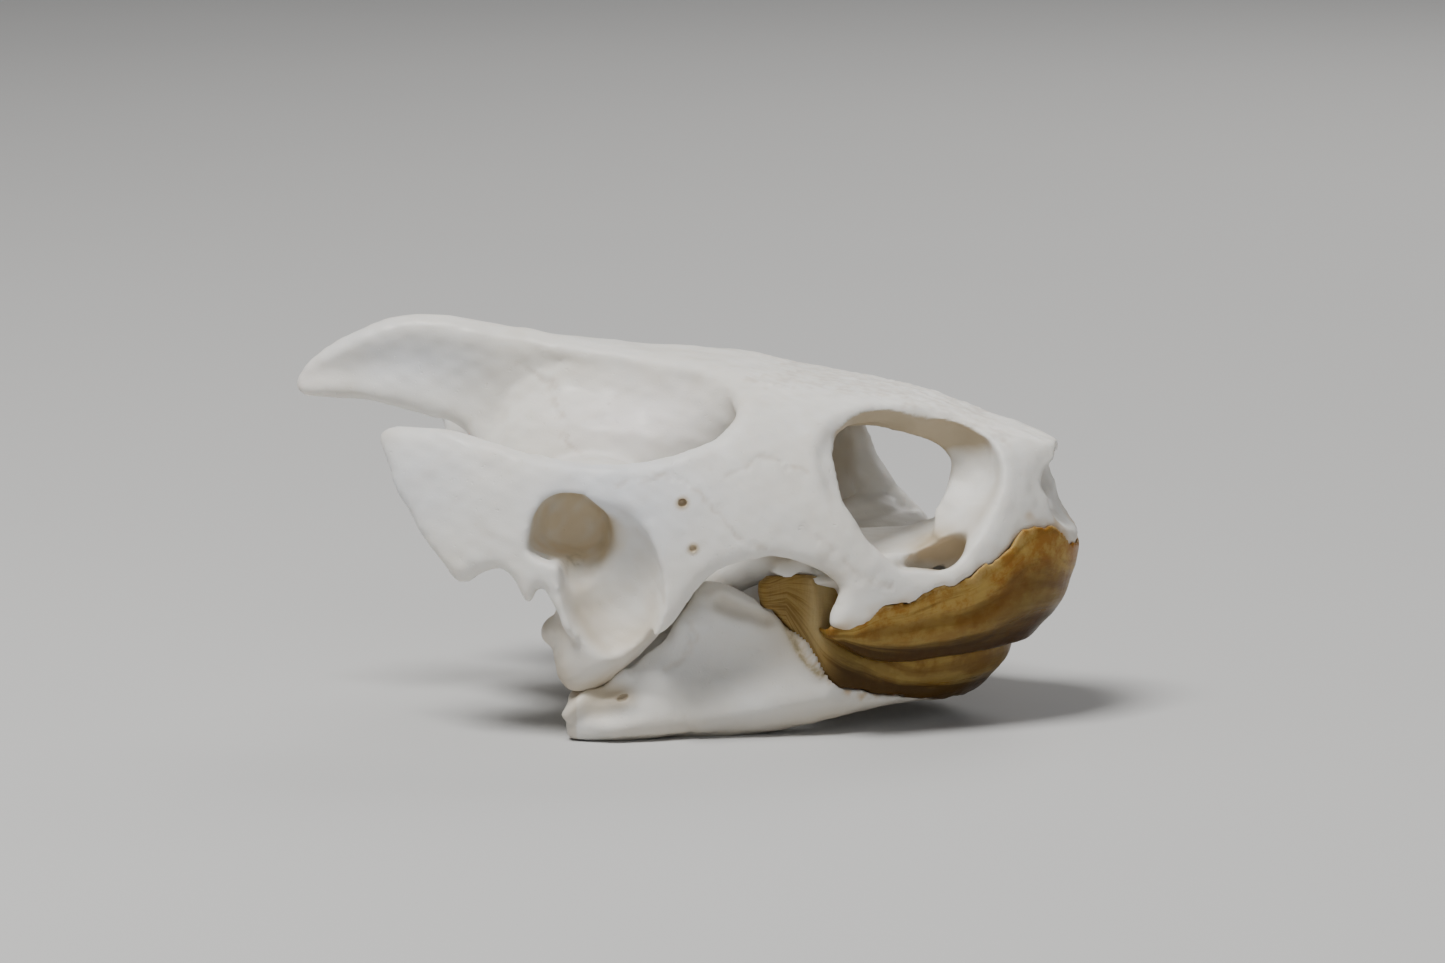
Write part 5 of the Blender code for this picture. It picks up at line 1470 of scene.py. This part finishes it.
def bone_material(name, base, warm):
    """Dry ivory bone: clouded, speckled and tinted by its marks, some of which are painted shade."""
    n = Nodes(name)
    cloud = n.spread(n.noise(0.16, 4.0, 0.55), 0.35, 0.68)
    colour = n.mix(n.times(cloud, 0.55), base, warm)
    # Painted bluish shade where the cool shade mark lies.
    colour = n.tint(colour, "cool_painted_shade", 0.8, (0.70, 0.725, 0.775))
    colour = n.tint(colour, "pink", 0.5, (0.80, 0.735, 0.715))
    # The ear cavity's warm tan, partly painted shade, and painted shade in the recess behind the eye
    # socket.
    colour = n.tint(colour, "warm", 0.85, (0.72, 0.60, 0.40))
    speck = n.spread(n.noise(1.7, 5.0, 0.65), 0.56, 0.8)
    colour = n.mix(n.times(speck, 0.22), colour, (0.62, 0.55, 0.43))
    # Tan tone, and painted shade in recesses, under the brow and towards the lower jaw's bottom edge.
    colour = n.tint(colour, "tan_and_shade", 0.85, (0.43, 0.335, 0.2))
    colour = n.tint(colour, "amber", 0.7, (0.44, 0.27, 0.09))
    colour = n.tint(colour, "line", 0.42, (0.50, 0.42, 0.33))
    blotch = n.spread(n.noise(2.6, 4.0, 0.6), 0.35, 0.6)
    colour = n.tint(colour, "stain", n.times(blotch, 0.8), (0.19, 0.16, 0.07))
    grain = n.bump(n.noise(7.0, 4.0, 0.6), 0.00002, 0.5)
    pits = n.spread(n.noise(3.2, 2.0, 0.5), 0.66, 0.8, 1.0, 0.0)
    return n.finished({
        "Base Color": colour, "Specular IOR Level": 0.42,
        "Roughness": n.spread(n.noise(0.5, 3.0, 0.5), 0.3, 0.7, 0.4, 0.58),
        "Normal": n.bump(pits, 0.00005, 0.45, grain),
        "Subsurface Weight": 0.14, "Subsurface Scale": 0.0009,
        "Subsurface Radius": (1.0, 0.75, 0.55),
    })


def horn_material(name, light, gold, dark, deep, streak_rate, ridge_rate, pale):
    """Amber horn: blotchy and clear at its border, darker below with painted shade where it curves under,
    streaked along the jaw.
    """
    n = Nodes(name)
    along, height, below = n.marked("along"), n.marked("height"), n.marked("below")
    flow = n.vector(n.times(along, 0.12), n.times(below, 5.5), 0.0)
    streak = n.noise(streak_rate, 5.0, 0.62, flow, 0.5)
    blotch = n.noise(0.62, 5.0, 0.66)
    colour = n.mix(n.spread(blotch, 0.38, 0.62), light, gold)
    colour = n.mix(n.times(n.spread(streak, 0.46, 0.7), 0.55), colour, dark)
    patch = n.plus(n.noise(0.3, 3.0, 0.55), -0.5)
    wander = n.plus(below, n.times(patch, 0.55))
    band = n.times(n.spread(wander, 0.24, 0.4), n.spread(wander, 0.46, 0.6, 1.0, 0.0))
    colour = n.mix(n.times(band, 0.62), colour, dark)
    olive = n.times(n.spread(wander, 0.46, 0.6), n.spread(wander, 0.72, 0.86, 1.0, 0.0))
    colour = n.mix(n.times(olive, 0.55), colour, (0.23, 0.165, 0.05))
    # Painted shade, nearly black, low on the horn where it curves in under itself.
    drop = n.spread(n.plus(below, n.times(streak, 0.3)), 0.78, 1.0)
    colour = n.mix(n.times(drop, 0.92), colour, deep)
    colour = n.tint(colour, "rear", 0.6, dark)
    rim = n.plus(below, n.times(n.plus(blotch, -0.5), 0.6))
    colour = n.mix(n.spread(rim, -0.03, 0.06, pale, 0.0), colour, (0.50, 0.345, 0.14))
    colour = n.tint(colour, "inner", 0.55, dark)
    # Painted shade towards the snout, where the light falls off.
    colour = n.tint(colour, "front", 0.68, deep)
    thin = n.mix(n.spread(streak, 0.4, 0.62), (0.34, 0.225, 0.075), (0.22, 0.13, 0.032))
    colour = n.tint(colour, "sheet", 0.85, thin)
    colour = n.tint(colour, "column", 0.9, (0.58, 0.45, 0.22))
    colour = n.tint(colour, "flank", 0.7, dark)
    ridges = n.noise(ridge_rate, 2.0, 0.5, n.vector(n.times(along, 0.05), height, 0.0))
    grain = n.bump(n.noise(2.2, 4.0, 0.6), 0.00005, 0.4, n.bump(ridges, 0.00006, 0.5))
    hatch = n.vector(n.times(along, 2.4), n.times(height, 0.35), 0.0)
    fine = n.times(n.noise(1.6, 3.0, 0.6, hatch), n.marked("hatched"))
    return n.finished({
        "Base Color": colour, "Specular IOR Level": 0.14,
        "Roughness": n.spread(n.noise(1.2, 4.0, 0.6, flow), 0.3, 0.7, 0.26, 0.44),
        "Normal": n.bump(fine, 0.00009, 0.8, grain),
        "Subsurface Weight": 0.12, "Subsurface Scale": 0.0009,
        "Subsurface Radius": (1.0, 0.4, 0.1),
    })


def floor_material():
    """Plain pale floor."""
    n = Nodes("pale floor")
    colour = n.mix(n.noise(0.02), (0.545, 0.545, 0.54), (0.565, 0.563, 0.556))
    return n.finished({"Base Color": colour, "Specular IOR Level": 0.15, "Roughness": 0.9})


def dress(obj, node, material):
    """Puts a finished piece in the place of its CAD node."""
    obj.data.materials.clear()
    obj.data.materials.append(material)
    obj.data.shade_smooth()
    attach(obj, "root")
    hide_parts(node)


# Camera, light and floor.

CAMERA_AZIMUTH = 7.0
CAMERA_ELEVATION = 9.0
CAMERA_DISTANCE = 450.0
LOOK_AT = (2.2, 0.0, 14.05)
# Width of the picture at the skull's mid-plane: 1445 pixels of 0.0615 mm.
VIEW_WIDTH = 1445 * 0.0615
SENSOR_WIDTH = 36.0


def set_camera():
    """Camera at the photo's angle."""
    a, e = math.radians(CAMERA_AZIMUTH), math.radians(CAMERA_ELEVATION)
    back = Vector((math.sin(a) * math.cos(e), -math.cos(a) * math.cos(e), math.sin(e)))
    data = bpy.data.cameras.new("camera")
    data.sensor_width = SENSOR_WIDTH
    data.lens = SENSOR_WIDTH * CAMERA_DISTANCE / VIEW_WIDTH
    data.clip_start, data.clip_end = 0.01, 10.0
    camera = placed("camera", data)
    camera.matrix_world = Matrix.LocRotScale(
        (Vector(LOOK_AT) + back * CAMERA_DISTANCE) * MM, (-back).to_track_quat("-Z", "Y"), None
    )
    bpy.context.scene.camera = camera


def area_light(name, place, size, power, colour):
    """Square lamp turned towards the middle of the skull; place is in metres."""
    data = bpy.data.lights.new(name, "AREA")
    data.size = size
    data.energy = power
    data.color = colour
    lamp = placed(name, data)
    lamp.location = place
    lamp.rotation_euler = (Vector((0, 0, 0.012)) - Vector(place)).to_track_quat("-Z", "Y").to_euler()


def set_stage():
    """Floor of six metres, three soft lamps and a faint even light from all round."""
    reach = 3.0
    corners = [(-reach, -reach, 0), (reach, -reach, 0), (reach, reach, 0), (-reach, reach, 0)]
    mesh = bpy.data.meshes.new("floor")
    mesh.from_pydata(corners, [], [(0, 1, 2, 3)])
    mesh.materials.append(floor_material())
    placed("floor", mesh)
    area_light("key", (-0.11, -0.17, 0.44), 0.16, 2.75, (1.0, 0.99, 0.97))
    area_light("fill", (0.22, -0.46, 0.20), 0.36, 0.36, (0.93, 0.96, 1.0))
    area_light("rim", (0.12, 0.38, 0.30), 0.22, 0.7, (1.0, 0.98, 0.95))
    world = bpy.data.worlds.new("studio")
    bpy.context.scene.world = world
    world.use_nodes = True
    light = world.node_tree.nodes["Background"].inputs
    light["Color"].default_value = (0.95, 0.96, 1.0, 1.0)
    light["Strength"].default_value = 0.15


def main():
    """Builds the four pieces, puts them in the place of their CAD nodes and sets the studio."""
    upper = finish_sheath(upper_sheath())
    lower = finish_sheath(lower_sheath())
    carve(upper, grown(lower, BITE_GAP))
    keep_largest(upper)
    skull = make_cranium([upper, lower])
    jaw = make_mandible(lower)
    groove_bone(skull)
    mark_bone(skull)
    groove_jaw(jaw)
    mark_jaw(jaw)
    mark_horn(upper, upper_line, UPPER_BORDER, UPPER_EDGE, ((0.64, 0.12, 0.16), (0.42, 0.1, -0.16)), 0)
    mark_horn(lower, lower_line, LOWER_TOP, LOWER_BORDER, ((0.55, 0.12, 0.12), (0.8, 0.1, -0.1)), 1)
    ivory = bone_material("bone", (0.80, 0.785, 0.745), (0.79, 0.75, 0.67))
    # The lower jaw's bone is a darker copy of the cranium's bone: painted shade.
    jaw_ivory_painted_shade = bone_material("jaw bone", (0.69, 0.68, 0.65), (0.68, 0.64, 0.56))
    upper_amber = horn_material(
        "upper horn", (0.42, 0.275, 0.07), (0.30, 0.135, 0.02), (0.13, 0.062, 0.008), (0.035, 0.013, 0.001),
        1.5, 3.0, 0.4,
    )
    lower_amber = horn_material(
        "lower horn", (0.33, 0.215, 0.055), (0.22, 0.12, 0.022), (0.13, 0.065, 0.01), (0.045, 0.02, 0.003),
        2.6, 6.0, 0.15,
    )
    dress(skull, "cranium", ivory)
    dress(jaw, "mandible", jaw_ivory_painted_shade)
    dress(upper, "upper_beak_sheath", upper_amber)
    dress(lower, "lower_beak_sheath", lower_amber)
    set_camera()
    set_stage()


main()
